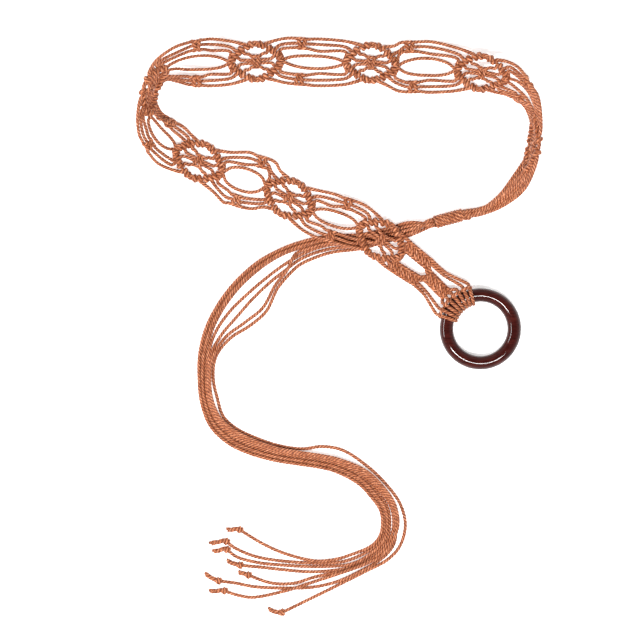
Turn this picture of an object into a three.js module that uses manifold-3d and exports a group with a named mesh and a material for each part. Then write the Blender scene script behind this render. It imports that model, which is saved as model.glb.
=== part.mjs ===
// A knotted cord belt: a turned wooden ring, an open band of eight cords in diamonds, and a long tassel.
// Millimetres, +Z up. The belt lies on a surface, with +X and +Y in that surface.
import * as THREE from "three";
import { mergeVertices } from "three/addons/utils/BufferGeometryUtils.js";
import Module from "manifold-3d";

const wasm = await Module();
wasm.setup();

// Cord
const CORD_D = 2.75;
const GAP = 0.3;

// Wooden ring and the folded cords on it
const RING_OD = 70;
const RING_TUBE_D = 11.7;
const HITCHES = 4;
const HITCH_ANGLE = 8;
const HITCH_CENTER = 133.5;

// Band
const BAND_W = 43;
const DIAMOND_L = 43;
const DIAMOND_W = 31;
const SIDE_KNOT_L = 8;
const CENTER_KNOT_L = 8.6;
const SENNIT_L = 26;
const SENNIT_W = 11.4;

// Collar and tassel
const WRAP_L = 28;
const WRAP_D = 11.4;
const WRAP_TURNS = 11;
const END_KNOT_D = 5.8;
const TAIL_L = 12;
const TAIL_D = 3.4;

// Sizes that follow the cord
const CORD_R = CORD_D / 2;
const PITCH = CORD_D + GAP;
const BAR_D = 2.15 * CORD_D;
const KNOT_T = 2.2 * CORD_D;
const KNOT_W = 3.9 * CORD_D;
const RING_R = (RING_OD - RING_TUBE_D) / 2;
const TUBE_R = RING_TUBE_D / 2;
const HALF_L = DIAMOND_L / 2;
const HALF_W = DIAMOND_W / 2;
const HALF_BAND = BAND_W / 2;
const TOUCH = CORD_D + GAP / 2;
const TURN_GAP = GAP + 0.42 * CORD_R;

// Sides of the swept sections, and the longest step along a cord
const CORD_SIDES = 4;
const TASSEL_SIDES = 4;
const BAR_SIDES = 6;
const FRAME_SIDES = 5;
const RING_SIDES = 8;
const RING_STEPS = 28;
const LONGEST_STEP = 22;

// The middle of the band from the ring to the collar. roll turns the outer edge up, in degrees, and lift
// is the height over the surface, as a share of the cord's diameter. Each centre names its diamond.
const BAND_ROUTE = [
  { x: 111.5, y: 20, roll: 0, lift: 0.9, at: "ring" },
  { x: 104, y: 26, roll: 0, lift: 1.0 },
  { x: 92, y: 38, roll: 0, lift: 1.3 },
  { x: 81, y: 46, roll: 0, lift: 1.8 },
  { x: 70, y: 54, roll: 0, lift: 2.3 },
  { x: 52.5, y: 68.5, roll: 0, lift: 2.45, at: "diamond" },
  { x: 33, y: 80, roll: 1, lift: 2.3 },
  { x: 14, y: 86.5, roll: 5, lift: 1.3 },
  { x: -6, y: 93.5, roll: 2, lift: 0.3 },
  { x: -26.5, y: 104.5, roll: 0, lift: 0, at: "diamond" },
  { x: -46, y: 114.5, roll: 0, lift: 0 },
  { x: -64, y: 120, roll: 0, lift: 0 },
  { x: -84.5, y: 127, roll: 0, lift: 0 },
  { x: -104, y: 136.5, roll: 0, lift: 0, at: "diamond" },
  { x: -123.5, y: 147, roll: 10, lift: 0 },
  { x: -138.5, y: 161, roll: 40, lift: 0 },
  { x: -146.5, y: 180, roll: 62, lift: 0 },
  { x: -145.5, y: 198.5, roll: 72, lift: 0, at: "diamond" },
  { x: -134.5, y: 213.5, roll: 60, lift: 0 },
  { x: -108, y: 220, roll: 26, lift: 0 },
  { x: -79, y: 221, roll: 6, lift: 0 },
  { x: -55, y: 222, roll: 0, lift: 0, at: "diamond" },
  { x: -32, y: 223, roll: 0, lift: 0 },
  { x: -8, y: 221.5, roll: 0, lift: 0 },
  { x: 20, y: 221, roll: 0, lift: 0 },
  { x: 44, y: 221, roll: 0, lift: 0, at: "diamond" },
  { x: 68, y: 217.5, roll: 0, lift: 0 },
  { x: 92, y: 217.5, roll: 0, lift: 0 },
  { x: 115, y: 215, roll: 8, lift: 0 },
  { x: 139, y: 212, roll: 24, lift: 0, at: "diamond" },
  { x: 162, y: 205, roll: 46, lift: 0 },
  { x: 176.5, y: 192.5, roll: 68, lift: 0 },
  { x: 183.5, y: 175, roll: 78, lift: 0 },
  { x: 183.5, y: 149.5, roll: 77, lift: 0, at: "diamond" },
  { x: 177, y: 128.5, roll: 70, lift: 0 },
  { x: 168, y: 115, roll: 45, lift: 0 },
  { x: 156, y: 103.5, roll: 20, lift: 0.2 },
  { x: 143, y: 95.5, roll: 0, lift: 0.5 },
  { x: 124, y: 90.7, roll: 0, lift: 0.9, at: "collar" },
  { x: 97, y: 83.5, roll: 0, lift: 0.9, at: "tassel" },
];

// The links between neighbouring diamonds: where the two side knots lie along the link, their distance
// from the middle and the half width of the eye, as shares of half the band's width.
const LINKS = [
  { outer: 0.48, inner: 0.36, spread: 0.72, eye: 0.29 },
  { outer: 0.52, inner: 0.24, spread: 0.88, eye: 0.45 },
  { outer: 0.45, inner: 0.59, spread: 0.76, eye: 0.29 },
  { outer: 0.5, inner: 0.44, spread: 0.76, eye: 0.29 },
  { outer: 0.3, inner: 0.3, spread: 0.72, eye: 0.25 },
  { outer: 0.23, inner: 0.27, spread: 0.8, eye: 0.34 },
  { outer: 0.34, inner: 0.46, spread: 0.66, eye: 0.26 },
];

// The middle of the tassel from the collar to where the cords part, with each cord's distance to the left
// of it in cord pitches.
const TASSEL_ROUTE = [
  { x: 77.5, y: 78.5, lanes: [-1.75, -1.25, -0.75, -0.25, 0.75, 1.25, 0.25, 1.75] },
  { x: 64.5, y: 75, lanes: [-1.75, -1.25, -0.75, -0.25, 0.75, 1.25, 0.25, 1.75] },
  { x: 51.5, y: 71.5, lanes: [-1.75, -1.25, -0.75, -0.25, 0.75, 1.25, 0.25, 1.75] },
  { x: 34.5, y: 68, lanes: [-1.75, -1.25, -0.75, -0.25, 0.75, 1.4, 0.25, 2.2] },
  { x: 8.5, y: 67, lanes: [-1.8, -1.3, -0.8, -0.3, 0.8, 1.9, 0.3, 3.0] },
  { x: -8.5, y: 63.5, lanes: [-1.8, -1.3, -0.8, -0.3, 1.2, 2.3, 0.5, 3.6] },
  { x: -22, y: 59.5, lanes: [-1.8, -1.3, -0.8, -0.3, 1.9, 3.0, 1.0, 4.3] },
  { x: -34, y: 54.5, lanes: [-1.8, -1.3, -0.8, -0.3, 2.5, 4.0, 4.3, 5.6] },
  { x: -50, y: 45.5, lanes: [-1.8, -1.2, -0.6, 0, 3.2, 4.8, 6.4, 7.5] },
  { x: -69, y: 29, lanes: [-1.7, -1.1, -0.5, 0.1, 3.1, 5.1, 8.9, 10.3] },
  { x: -83.5, y: 10, lanes: [-1.7, -1.1, -0.5, 0.1, 2.1, 4.6, 7.4, 9.1] },
  { x: -93.5, y: -10, lanes: [-1.7, -1.1, -0.5, 0.1, 1.2, 3.0, 4.4, 5.7] },
  { x: -98, y: -30, lanes: [-1.8, -1.2, -0.6, 0, 0.6, 1.3, 2.1, 2.9] },
  { x: -98.5, y: -50, lanes: [-1.8, -1.3, -0.8, -0.2, 0.3, 0.8, 1.3, 2.2] },
  { x: -96, y: -69, lanes: [-2.0, -1.5, -1.0, -0.5, 0, 0.5, 1.1, 2.6] },
  { x: -88.5, y: -87, lanes: [-2.3, -1.7, -1.1, -0.5, 0.1, 0.7, 1.3, 2.2] },
  { x: -75, y: -99, lanes: [-2.6, -2.0, -1.3, -0.7, 0, 0.7, 1.4, 2.1] },
  { x: -58, y: -107.5, lanes: [-2.5, -1.9, -1.3, -0.7, 0, 0.7, 1.4, 2.2] },
  { x: -38, y: -114, lanes: [-2.2, -1.6, -1.1, -0.5, 0.1, 0.7, 1.3, 2.1] },
  { x: -17, y: -118, lanes: [-2.0, -1.4, -0.9, -0.3, 0.3, 0.9, 1.4, 2.4] },
  { x: 0, y: -120.5, lanes: [-2.0, -1.4, -0.9, -0.3, 0.3, 0.9, 1.4, 3.9] },
  { x: 15, y: -124, lanes: [-2.1, -1.5, -0.9, -0.3, 0.3, 0.9, 1.5, 4.2] },
  { x: 37, y: -134.5, lanes: [-2.4, -1.7, -1.0, -0.3, 0.4, 1.1, 1.8, 3.0] },
  { x: 50.5, y: -147.5, lanes: [-2.6, -1.9, -1.2, -0.5, 0.4, 1.1, 1.8, 2.9] },
  { x: 59.5, y: -161, lanes: [-2.6, -1.9, -1.2, -0.5, 0.5, 1.1, 1.7, 3.2] },
  { x: 61.5, y: -175.5, lanes: [-2.6, -1.9, -1.2, -0.5, 0.6, 1.2, 1.8, 3.9] },
  { x: 58.5, y: -189.5, lanes: [-2.6, -1.8, -1.1, -0.4, 0.4, 1.9, 1.2, 3.7] },
  { x: 50, y: -199.5, lanes: [-2.6, -1.8, -1.0, -0.2, 0.5, 2.1, 1.3, 3.4] },
];

// Each cord's own way from there to its end knot, and where its tail ends.
const TASSEL_ENDS = [
  { way: [[26, -202], [14.5, -205.5], [-4.5, -207], [-31, -200.5], [-49, -192.5]],
    knot: [-69, -180.5], tail: [-80.5, -180.5] },
  { way: [[27.5, -205.5], [14.5, -208.5], [-17, -208.5], [-55, -203.5], [-74, -195.5]],
    knot: [-80.5, -190.5], tail: [-95.5, -192.5] },
  { way: [[29, -209], [1.5, -212], [-36, -210.5], [-55, -208.3], [-72, -203.5]],
    knot: [-80, -197.5], tail: [-92.5, -199.5] },
  { way: [[27.5, -212], [-4.5, -216.5], [-36, -214.3], [-52, -212.5]],
    knot: [-68.5, -211], tail: [-80.5, -207] },
  { way: [[28, -213.5], [-4.5, -221], [-23.5, -226.5], [-42.5, -226]],
    knot: [-61.5, -219.5], tail: [-70.5, -216.5] },
  { way: [[33.5, -216.5], [14.5, -225], [-4.5, -229.5], [-17, -230.5], [-55, -229.5], [-74, -226]],
    knot: [-87, -224.5], tail: [-99.5, -218] },
  { way: [[38, -210], [14.5, -218.5], [-11, -227], [-36, -234.5], [-59, -238.5], [-73, -236]],
    knot: [-82, -233], tail: [-95.5, -233.5] },
  { way: [[39.5, -216], [14.5, -228.5], [-11, -241]],
    knot: [-32.5, -251.5], tail: [-45, -248.5] },
];

// The order in which the tassel's cords come to rest on the surface and on each other.
const LAID = [1, 3, 4, 7, 0, 2, 5, 6];

const CORD_MATERIAL = { color: 0xc87d55, roughness: 0.72, metalness: 0 };
const RING_MATERIAL = { color: 0x501914, roughness: 0.18, metalness: 0 };

// Curves through tables

// A curve through rows of named columns: each column follows a cubic over the distance along the rows.
function through(rows, columns) {
  const along = [0];
  for (let i = 1; i < rows.length; i++) {
    along.push(along[i - 1] + Math.hypot(rows[i].x - rows[i - 1].x, rows[i].y - rows[i - 1].y));
  }
  const slope = (i, c) => {
    const a = Math.max(i - 1, 0);
    const b = Math.min(i + 1, rows.length - 1);
    return (rows[b][c] - rows[a][c]) / (along[b] - along[a]);
  };
  const at = (u) => {
    let i = 0;
    while (i < rows.length - 2 && u > along[i + 1]) i++;
    const span = along[i + 1] - along[i];
    const t = (u - along[i]) / span;
    const out = {};
    for (const c of columns) {
      const p = rows[i][c];
      const q = rows[i + 1][c];
      const m = slope(i, c) * span;
      const n = slope(i + 1, c) * span;
      out[c] = t < 0 ? p + m * t : t > 1 ? q + n * (t - 1)
        : p + t * (m + t * (3 * (q - p) - 2 * m - n + t * (m + n - 2 * (q - p))));
    }
    return out;
  };
  return { along, length: along[along.length - 1], at };
}

const band = through(BAND_ROUTE, ["x", "y", "roll", "lift"]);
const rowsAt = (what) => BAND_ROUTE.flatMap((row, i) => (row.at === what ? [band.along[i]] : []));
const CENTERS = rowsAt("diamond");
const [COLLAR_U] = rowsAt("collar");

// The unit vector to the left of the band at u, in the surface.
function leftOf(u) {
  const a = band.at(u - 0.5);
  const b = band.at(u + 0.5);
  const ahead = new THREE.Vector2(b.x - a.x, b.y - a.y).normalize();
  return new THREE.Vector2(-ahead.y, ahead.x);
}

// How far below the middle of the band its lower edge reaches when the band stands on it.
function standing(u) {
  const nearest = Math.min(...CENTERS.map((c) => Math.abs(u - c)));
  const wide = HALF_W + BAR_D / 2;
  return nearest > HALF_L ? Math.max(wide, HALF_BAND - CORD_R) : wide;
}

// The point u along the band, v to the left across it and w out of its upper face. A cord that would
// reach below the surface lies on it instead.
function place(u, v, w, reach = CORD_R) {
  const { x, y, roll, lift } = band.at(u);
  const left = leftOf(u);
  const turn = THREE.MathUtils.degToRad(roll);
  const base = (BAR_D / 2) * Math.cos(turn) + lift * CORD_D + standing(u) * Math.sin(turn);
  const out = v * Math.cos(turn) - w * Math.sin(turn);
  const z = base + v * Math.sin(turn) + w * Math.cos(turn);
  return new THREE.Vector3(x + out * left.x, y + out * left.y, Math.max(z, reach));
}

// Solids

// A closed solid of a geometry's faces, pointing out.
function solidOf(geometry) {
  geometry.deleteAttribute("normal");
  geometry.deleteAttribute("uv");
  const merged = mergeVertices(geometry, 1e-4);
  const vertProperties = new Float32Array(merged.attributes.position.array);
  const triVerts = new Uint32Array(merged.index.array);
  const a = new THREE.Vector3();
  const b = new THREE.Vector3();
  const c = new THREE.Vector3();
  let volume = 0;
  for (let i = 0; i < triVerts.length; i += 3) {
    a.fromArray(vertProperties, 3 * triVerts[i]);
    b.fromArray(vertProperties, 3 * triVerts[i + 1]);
    c.fromArray(vertProperties, 3 * triVerts[i + 2]);
    volume += a.dot(b.cross(c));
  }
  if (volume < 0) triVerts.reverse();
  return new wasm.Manifold(new wasm.Mesh({ numProp: 3, vertProperties, triVerts }));
}

function joined(solids) {
  return solids.reduce((all, solid) => all.add(solid));
}

// A polyline as a curve whose steps fall on its points.
class Polyline extends THREE.Curve {
  constructor(points) {
    super();
    this.points = points;
  }

  getPoint(t, target = new THREE.Vector3()) {
    const f = t * (this.points.length - 1);
    const i = Math.min(Math.floor(f), this.points.length - 2);
    return target.lerpVectors(this.points[i], this.points[i + 1], f - i);
  }

  getPointAt(t, target) {
    return this.getPoint(t, target);
  }

  getTangentAt(t, target = new THREE.Vector3()) {
    const h = 0.5 / (this.points.length - 1);
    const ahead = this.getPoint(Math.min(t + h, 1));
    return target.copy(ahead).sub(this.getPoint(Math.max(t - h, 0))).normalize();
  }
}

// Points along a smooth curve, no further apart than the longest step.
function stepped(points) {
  const curve = new THREE.CatmullRomCurve3(points, false, "centripetal");
  const length = curve.getLength();
  return curve.getSpacedPoints(Math.max(1, Math.ceil(length / LONGEST_STEP)));
}

// A round cord along points.
function cord(points, diameter = CORD_D, sides = CORD_SIDES) {
  const section = new THREE.Shape();
  for (let k = 0; k < sides; k++) {
    const angle = (2 * Math.PI * k) / sides;
    const corner = [(diameter / 2) * Math.cos(angle), (diameter / 2) * Math.sin(angle)];
    if (k === 0) section.moveTo(...corner);
    else section.lineTo(...corner);
  }
  section.closePath();
  const extrudePath = new Polyline(points);
  return solidOf(new THREE.ExtrudeGeometry(section, { steps: points.length - 1, extrudePath }));
}

// A knotted bar through centres, each with its half width across and its half thickness. A closed bar
// comes back to its first centre and has no ends.
function bar(centers, across, sides = BAR_SIDES, closed = false) {
  const positions = [];
  const index = [];
  const count = centers.length;
  centers.forEach(({ at, wide, thick }, i) => {
    const before = centers[closed ? (i + count - 1) % count : Math.max(i - 1, 0)].at;
    const after = centers[closed ? (i + 1) % count : Math.min(i + 1, count - 1)].at;
    const ahead = after.clone().sub(before).normalize();
    const side = across(i).clone();
    side.addScaledVector(ahead, -side.dot(ahead)).normalize();
    const up = ahead.clone().cross(side);
    for (let k = 0; k < sides; k++) {
      const angle = (2 * Math.PI * k) / sides;
      const corner = at.clone();
      corner.addScaledVector(side, wide * Math.cos(angle));
      corner.addScaledVector(up, thick * Math.sin(angle));
      positions.push(corner.x, corner.y, corner.z);
    }
  });
  for (let i = 0; i < (closed ? count : count - 1); i++) {
    const next = ((i + 1) % count) * sides;
    for (let k = 0; k < sides; k++) {
      const j = (k + 1) % sides;
      index.push(i * sides + k, i * sides + j, next + j, i * sides + k, next + j, next + k);
    }
  }
  const last = (count - 1) * sides;
  for (let k = 1; !closed && k < sides - 1; k++) {
    index.push(0, k + 1, k, last, last + k, last + k + 1);
  }
  const geometry = new THREE.BufferGeometry();
  geometry.setAttribute("position", new THREE.Float32BufferAttribute(positions, 3));
  geometry.setIndex(index);
  return solidOf(geometry);
}

// A bar of knots in a row: thick in the middle of each knot and thinner between them.
function knottedBar(pointAt, acrossAt, knots, wide, thick, waist = 0.78) {
  const steps = 2 * knots;
  const centers = [];
  for (let i = 0; i <= steps; i++) {
    const full = i % 2 === 1 ? 1 : waist;
    centers.push({ at: pointAt(i / steps), wide: wide * full, thick: thick * full });
  }
  return bar(centers, (i) => acrossAt(i / steps));
}

const leftAt = (u) => {
  const a = place(u, 0, 0);
  return place(u, 1, 0).sub(a);
};

// Diamonds

// A quarter of a diamond's frame in the band: t runs from its tip at 0 to its widest place at 1.
const FRAME_ROUNDNESS = 1.5;
function quarter(t) {
  const angle = (t * Math.PI) / 2;
  const power = 2 / FRAME_ROUNDNESS;
  return { u: HALF_L * Math.cos(angle) ** power, v: HALF_W * Math.sin(angle) ** power };
}

// Where the cords leave the frame, from the one nearest the edge to the one nearest the tip.
const LEAVES = [0.76, 0.5, 0.25];

// The frame is one closed bar of knots, with these places on each quarter.
const FRAME_STEPS = [0, 0.48];
function frame(center) {
  const centers = [];
  const ups = [];
  for (const [end, side] of [[1, 1], [-1, 1], [-1, -1], [1, -1]]) {
    const shares = FRAME_STEPS.map((t) => (end * side > 0 ? t : 1 - t));
    for (const t of shares) {
      const q = quarter(t);
      const u = center + end * q.u;
      centers.push({ at: place(u, side * q.v, 0, BAR_D / 2), wide: BAR_D / 2, thick: BAR_D / 2 });
      ups.push(place(u, side * q.v, 1).sub(place(u, side * q.v, 0)));
    }
  }
  return bar(centers, (i) => ups[i], FRAME_SIDES, true);
}

// The two pairs of cords that run through a diamond's knot, each as one.
const PAIR = { leaves: 0.38, middle: 0.2, cords: 1.5 };
function insidePair(center, side) {
  const q = quarter(PAIR.leaves);
  const points = [-1, 0, 1].map((end) => (
    place(center + end * q.u, side * (end === 0 ? PAIR.middle * HALF_W : q.v), 0)));
  return cord(points, PAIR.cords * CORD_D);
}

// The widths of a centre knot along it, as shares of a knot's width.
const CENTER_KNOT_FORM = [0.55, 1, 0.7, 1, 0.55];
function centerKnot(center) {
  const centers = CENTER_KNOT_FORM.map((share, i) => ({
    at: place(center + (i / (CENTER_KNOT_FORM.length - 1) - 0.5) * CENTER_KNOT_L, 0, 0),
    wide: (share * KNOT_W) / 2,
    thick: ((0.5 + 0.5 * share) * KNOT_T) / 2,
  }));
  return bar(centers, () => leftAt(center));
}

// Links

// The real length of a unit of u at v across the band: under 1 on the inside of a bend.
function stretch(u, v) {
  return place(u + 0.5, v, 0).distanceTo(place(u - 0.5, v, 0));
}

// How the three outer cords of a link spread. FAN is their distance from the middle at a diamond's tip,
// as shares of half its width, and OUTER_BULGE widens the outermost at the far tip. KNOT_FAN is how far
// apart they enter a side knot, in cord pitches. After it they swell out at SWELL_AT of the rest of the
// link, SWELL_DROPS cord diameters in from the edge. A link that spreads more than PLAIN_SPREAD of half
// the band is wider at its edge too. LEAD_IN and BESIDE_FRAME place the first bend after a diamond, as
// shares of the link and of half the diamond.
const FAN = [1.12, 0.86, 0.58];
const OUTER_BULGE = 1.06;
const KNOT_FAN = 1.05;
const SWELL_AT = 0.32;
const SWELL_DROPS = [0.9, 2.1];
const PLAIN_SPREAD = 0.74;
const LEAD_IN = 0.1;
const BESIDE_FRAME = -0.2;
const KNOT_GAP = 1.3 * TURN_GAP;

// Each cord of a link, from the outermost at 0 to the one round the eye at 3: its points as far as the
// side knot, and from the side knot on.
function linkCords(link, side) {
  const from = CENTERS[link];
  const to = CENTERS[link + 1];
  const form = LINKS[link];
  const start = from + HALF_L;
  const gap = to - HALF_L - start;
  const knot = start + gap * (side > 0 ? form.outer : form.inner);
  const spread = form.spread * HALF_BAND;
  const out = (HALF_BAND - CORD_R) * Math.max(1, form.spread / PLAIN_SPREAD);
  const fan = FAN.map((share) => share * HALF_W);
  const swell = [out, 0.5 * (out + spread) - SWELL_DROPS[0] * CORD_D, spread - SWELL_DROPS[1] * CORD_D];
  const real = stretch(knot, side * spread);
  const end = (SIDE_KNOT_L / 2 + KNOT_GAP) / real;
  const before = [];
  const after = [];
  for (let lane = 0; lane < 3; lane++) {
    const q = quarter(LEAVES[lane]);
    const atKnot = spread + (1 - lane) * KNOT_FAN * PITCH;
    const lead = (knot - end - start) / 2;
    before.push([
      [from + q.u, q.v],
      [start + Math.max(LEAD_IN * gap - lead, BESIDE_FRAME * HALF_L), fan[lane]],
      [knot - end, atKnot],
    ]);
    after.push([
      [knot + end, atKnot],
      [knot + end + SWELL_AT * (to - HALF_L - knot - end), swell[lane]],
      [to - HALF_L, fan[lane] * (lane === 0 ? OUTER_BULGE : 1)],
      [to - q.u, q.v],
    ]);
  }
  return { before, after, knot, spread, real };
}

// How far a cord sags between its ends, in cord diameters.
const SAG = 0.35;
function flatCord(points, side) {
  const last = points.length - 1;
  const world = points.map(([u, v], i) => {
    const sag = i > 0 && i < last ? -SAG * CORD_D : 0;
    return place(u, side * v, sag);
  });
  return cord(stepped(world));
}

// The two cords round the eye of a link, as far as its middle from one end: shares of the way to the
// middle, and of the eye's half width. The tips start inside the diamond's frame.
const EYE_FORM = [[0.3, 0.62], [0.65, 0.93], [1, 1]];
const EYE_TIP = { along: -0.06, out: 0.25 * CORD_D };
function eyeCord(link, side, end) {
  const start = CENTERS[link] + HALF_L;
  const finish = CENTERS[link + 1] - HALF_L;
  const wide = LINKS[link].eye * HALF_BAND;
  const middle = (start + finish) / 2;
  const tip = end > 0 ? start : finish;
  const u = (share) => tip + share * (middle - end * (TURN_GAP / 2) - tip);
  const round = EYE_FORM.map(([share, out]) => [u(share), out * wide]);
  return flatCord([[u(EYE_TIP.along), EYE_TIP.out], ...round], side);
}

// The widths of a side knot along it, as shares of a knot's width.
const SIDE_KNOT_FORM = [0.78, 1, 1, 0.78];
const KNOT_SIDES = 5;
function sideKnot(link, side) {
  const { knot, spread, real } = linkCords(link, side);
  const along = (i) => knot + ((i / (SIDE_KNOT_FORM.length - 1) - 0.5) * SIDE_KNOT_L) / real;
  const centers = SIDE_KNOT_FORM.map((share, i) => ({
    at: place(along(i), side * spread, 0, KNOT_T / 2),
    wide: (share * KNOT_W) / 2,
    thick: (share * KNOT_T) / 2,
  }));
  return bar(centers, (i) => leftAt(along(i)), KNOT_SIDES);
}

// The ring end

// The order of the eight cords from the band's right edge to its left edge.
const STRANDS = 2 * HITCHES;

const bandStart = place(0, 0, 0);
const ringTilt = Math.atan2(PITCH, 2 * RING_R);
const ringAngle = THREE.MathUtils.degToRad(HITCH_CENTER);
const ringBack = new THREE.Vector3(Math.cos(ringAngle), Math.sin(ringAngle), 0);
const ringCenter = new THREE.Vector3(
  bandStart.x - ringBack.x * (RING_OD / 2 + PITCH),
  bandStart.y - ringBack.y * (RING_OD / 2 + PITCH),
  TUBE_R + PITCH / 2,
);

// A point by the ring's tube: degrees round the ring, and a place in the section from its middle circle.
function byRing(degrees, out, up) {
  const angle = THREE.MathUtils.degToRad(degrees);
  const radial = new THREE.Vector3(Math.cos(angle), Math.sin(angle), 0);
  const flat = radial.multiplyScalar(RING_R + out);
  flat.z = up;
  const axis = new THREE.Vector3(ringBack.y, -ringBack.x, 0);
  return flat.applyAxisAngle(axis, ringTilt).add(ringCenter);
}

function ringSolid() {
  const section = [];
  const corner = TUBE_R / Math.cos(Math.PI / RING_SIDES);
  for (let k = 0; k <= RING_SIDES; k++) {
    const angle = (2 * Math.PI * (k + 0.5)) / RING_SIDES;
    section.push(new THREE.Vector2(RING_R + corner * Math.cos(angle), corner * Math.sin(angle)));
  }
  const geometry = new THREE.LatheGeometry(section, RING_STEPS);
  geometry.rotateX(Math.PI / 2);
  geometry.rotateZ(ringAngle + Math.PI / RING_STEPS);
  geometry.applyMatrix4(new THREE.Matrix4().makeRotationAxis(
    new THREE.Vector3(ringBack.y, -ringBack.x, 0), ringTilt));
  geometry.translate(ringCenter.x, ringCenter.y, ringCenter.z);
  return solidOf(geometry);
}

// Where strand k stands round the ring, in degrees.
const strandAngle = (k) => HITCH_CENTER + (k - (STRANDS - 1) / 2) * HITCH_ANGLE;

// One folded cord: from its bar, which crosses above the tails, over the ring, round it and out as two tails.
const HITCH_STEPS = 8;
const HITCH_BAR = { out: 0.1 * CORD_D, up: 0.9 * CORD_D };
function hitch(n) {
  const reach = TUBE_R + GAP + CORD_R;
  const wide = reach / Math.cos(Math.PI / HITCH_STEPS);
  const bar = byRing(strandAngle(2 * n + 0.5), reach + HITCH_BAR.out, HITCH_BAR.up);
  const strands = [2 * n, 2 * n + 1].map((k) => {
    const way = [bar];
    for (let i = 1; i < HITCH_STEPS; i++) {
      const angle = (2 * Math.PI * (i + 0.5)) / HITCH_STEPS;
      way.push(byRing(strandAngle(k), wide * Math.cos(angle), wide * Math.sin(angle)));
    }
    return cord([...way, tailStart(k)]);
  });
  return joined(strands);
}

// Where the hitches' tails end: out from the ring's tube, and down.
const HITCH_TAIL = { out: 2 * PITCH, up: -0.6 * CORD_D };
function tailStart(k) {
  return byRing(strandAngle(k), TUBE_R + HITCH_TAIL.out, HITCH_TAIL.up);
}

// The lanes of four cords side by side in a sennit.
const sennitLane = (i) => (i - 1.5) * ((SENNIT_W - CORD_D) / 3);

// The side sennits end on the first diamond's frame, and the middle one lies between them and the ring,
// in shares of the way. The outer pairs run wide of it, at OUTER_PAIR of half the band.
const FIRST_CENTER = CENTERS[0];
const SENNIT_SEAT = 0.66 * CORD_D;
const SENNIT_KNOTS = 5;
const SENNIT_WAIST = 0.86;
const SIDE_SENNIT_W = 0.9 * SENNIT_W;
const SIDE_SENNIT_END = FIRST_CENTER - HALF_L + SENNIT_SEAT;
const SIDE_SENNIT_START = SIDE_SENNIT_END - SENNIT_L;
const CENTER_SENNIT_START = 0.24 * SIDE_SENNIT_START;
const CENTER_SENNIT_END = 0.86 * SIDE_SENNIT_START;
const SIDE_SENNIT_V = [0.41 * HALF_BAND, 0.49 * HALF_BAND];
const OUTER_PAIR = { along: 0.55, out: [0.62, 0.48] };

function sennitBar(start, end, vFrom, vTo, wide) {
  const u = (t) => start + t * (end - start);
  const pointAt = (t) => place(u(t), vFrom + t * (vTo - vFrom), 0);
  return knottedBar(pointAt, (t) => leftAt(u(t)), SENNIT_KNOTS, wide / 2, KNOT_T / 2, SENNIT_WAIST);
}

// The four middle cords run into this sennit from the ring, and out of it to the two beside it.
function centerSennit() {
  const solids = [sennitBar(CENTER_SENNIT_START, CENTER_SENNIT_END, 0, 0, SENNIT_W)];
  for (let i = 0; i < 4; i++) {
    const side = i < 2 ? -1 : 1;
    const k = i + 2;
    const from = tailEnd(k);
    solids.push(cord([from, place(CENTER_SENNIT_START + CORD_D, sennitLane(i), 0)]));
    const lane = side < 0 ? 2 + i : i - 2;
    const to = side * SIDE_SENNIT_V[0] + sennitLane(lane);
    solids.push(cord([
      place(CENTER_SENNIT_END - CORD_D, sennitLane(i), 0),
      place(SIDE_SENNIT_START - 2 * TURN_GAP, to - 2 * side * GAP, 0),
    ]));
  }
  return joined(solids);
}

// The end of a tail, a gap away from where the next piece takes the cord over.
function tailEnd(k) {
  const start = tailStart(k);
  const away = start.clone().sub(byRing(strandAngle(k), 0, 0)).setZ(0).normalize();
  return start.addScaledVector(away, 1.2 * TURN_GAP);
}

function sideSennit(side) {
  const solids = [
    sennitBar(SIDE_SENNIT_START, SIDE_SENNIT_END, side * SIDE_SENNIT_V[0], side * SIDE_SENNIT_V[1],
      SIDE_SENNIT_W),
  ];
  for (const i of [0, 1]) {
    const k = side < 0 ? i : STRANDS - 1 - i;
    const lane = side < 0 ? i : 3 - i;
    const to = side * SIDE_SENNIT_V[0] + sennitLane(lane);
    const from = tailEnd(k);
    solids.push(cord([
      from,
      place(OUTER_PAIR.along * SIDE_SENNIT_START, side * OUTER_PAIR.out[i] * HALF_BAND, 0),
      place(SIDE_SENNIT_START + CORD_D, to, 0),
    ]));
  }
  return joined(solids);
}

// Collar and tassel

// Places of eight cords in a round bundle: one in the middle and seven round it.
function bundled(k, radius) {
  if (k === 0) return [0, 0];
  const angle = (2 * Math.PI * (k - 0.5)) / (STRANDS - 1);
  return [radius * Math.cos(angle), radius * Math.sin(angle)];
}
const BUNDLE_R = 0.5 * WRAP_D - 1.02 * CORD_D;

// The last diamond's eight cords come together on their way to the collar: at each share of the way,
// what is left of their distance from the middle, which starts at GATHER_FAN of the diamond's half width
// for the edge's cord first and the eye's cord last.
const GATHER = [{ at: 0.18, left: 1.0 }, { at: 0.5, left: 0.62 }, { at: 0.78, left: 0.4 }];
const GATHER_FAN = [0.84, 0.6, 0.36, 0.14];
const EYE_LEAVES = { u: HALF_L - 1, v: 0.25 * CORD_D };
function gatheredCords() {
  const from = CENTERS[CENTERS.length - 1];
  const start = from + HALF_L;
  const gap = COLLAR_U - start;
  const order = [[-1, 0], [-1, 1], [-1, 2], [-1, 3], [1, 3], [1, 2], [1, 1], [1, 0]];
  return order.map(([side, lane], k) => {
    const q = lane < 3 ? quarter(LEAVES[lane]) : EYE_LEAVES;
    const wide = GATHER_FAN[lane] * HALF_W;
    const [v, w] = bundled(k, BUNDLE_R);
    const world = [place(from + q.u, side * q.v, 0)];
    for (const { at, left } of GATHER) {
      const blend = side * wide * left * (1 - at) + v * at;
      world.push(place(start + at * gap, blend, w * at));
    }
    world.push(place(COLLAR_U - GAP, v, w));
    return cord(stepped(world));
  });
}

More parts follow.
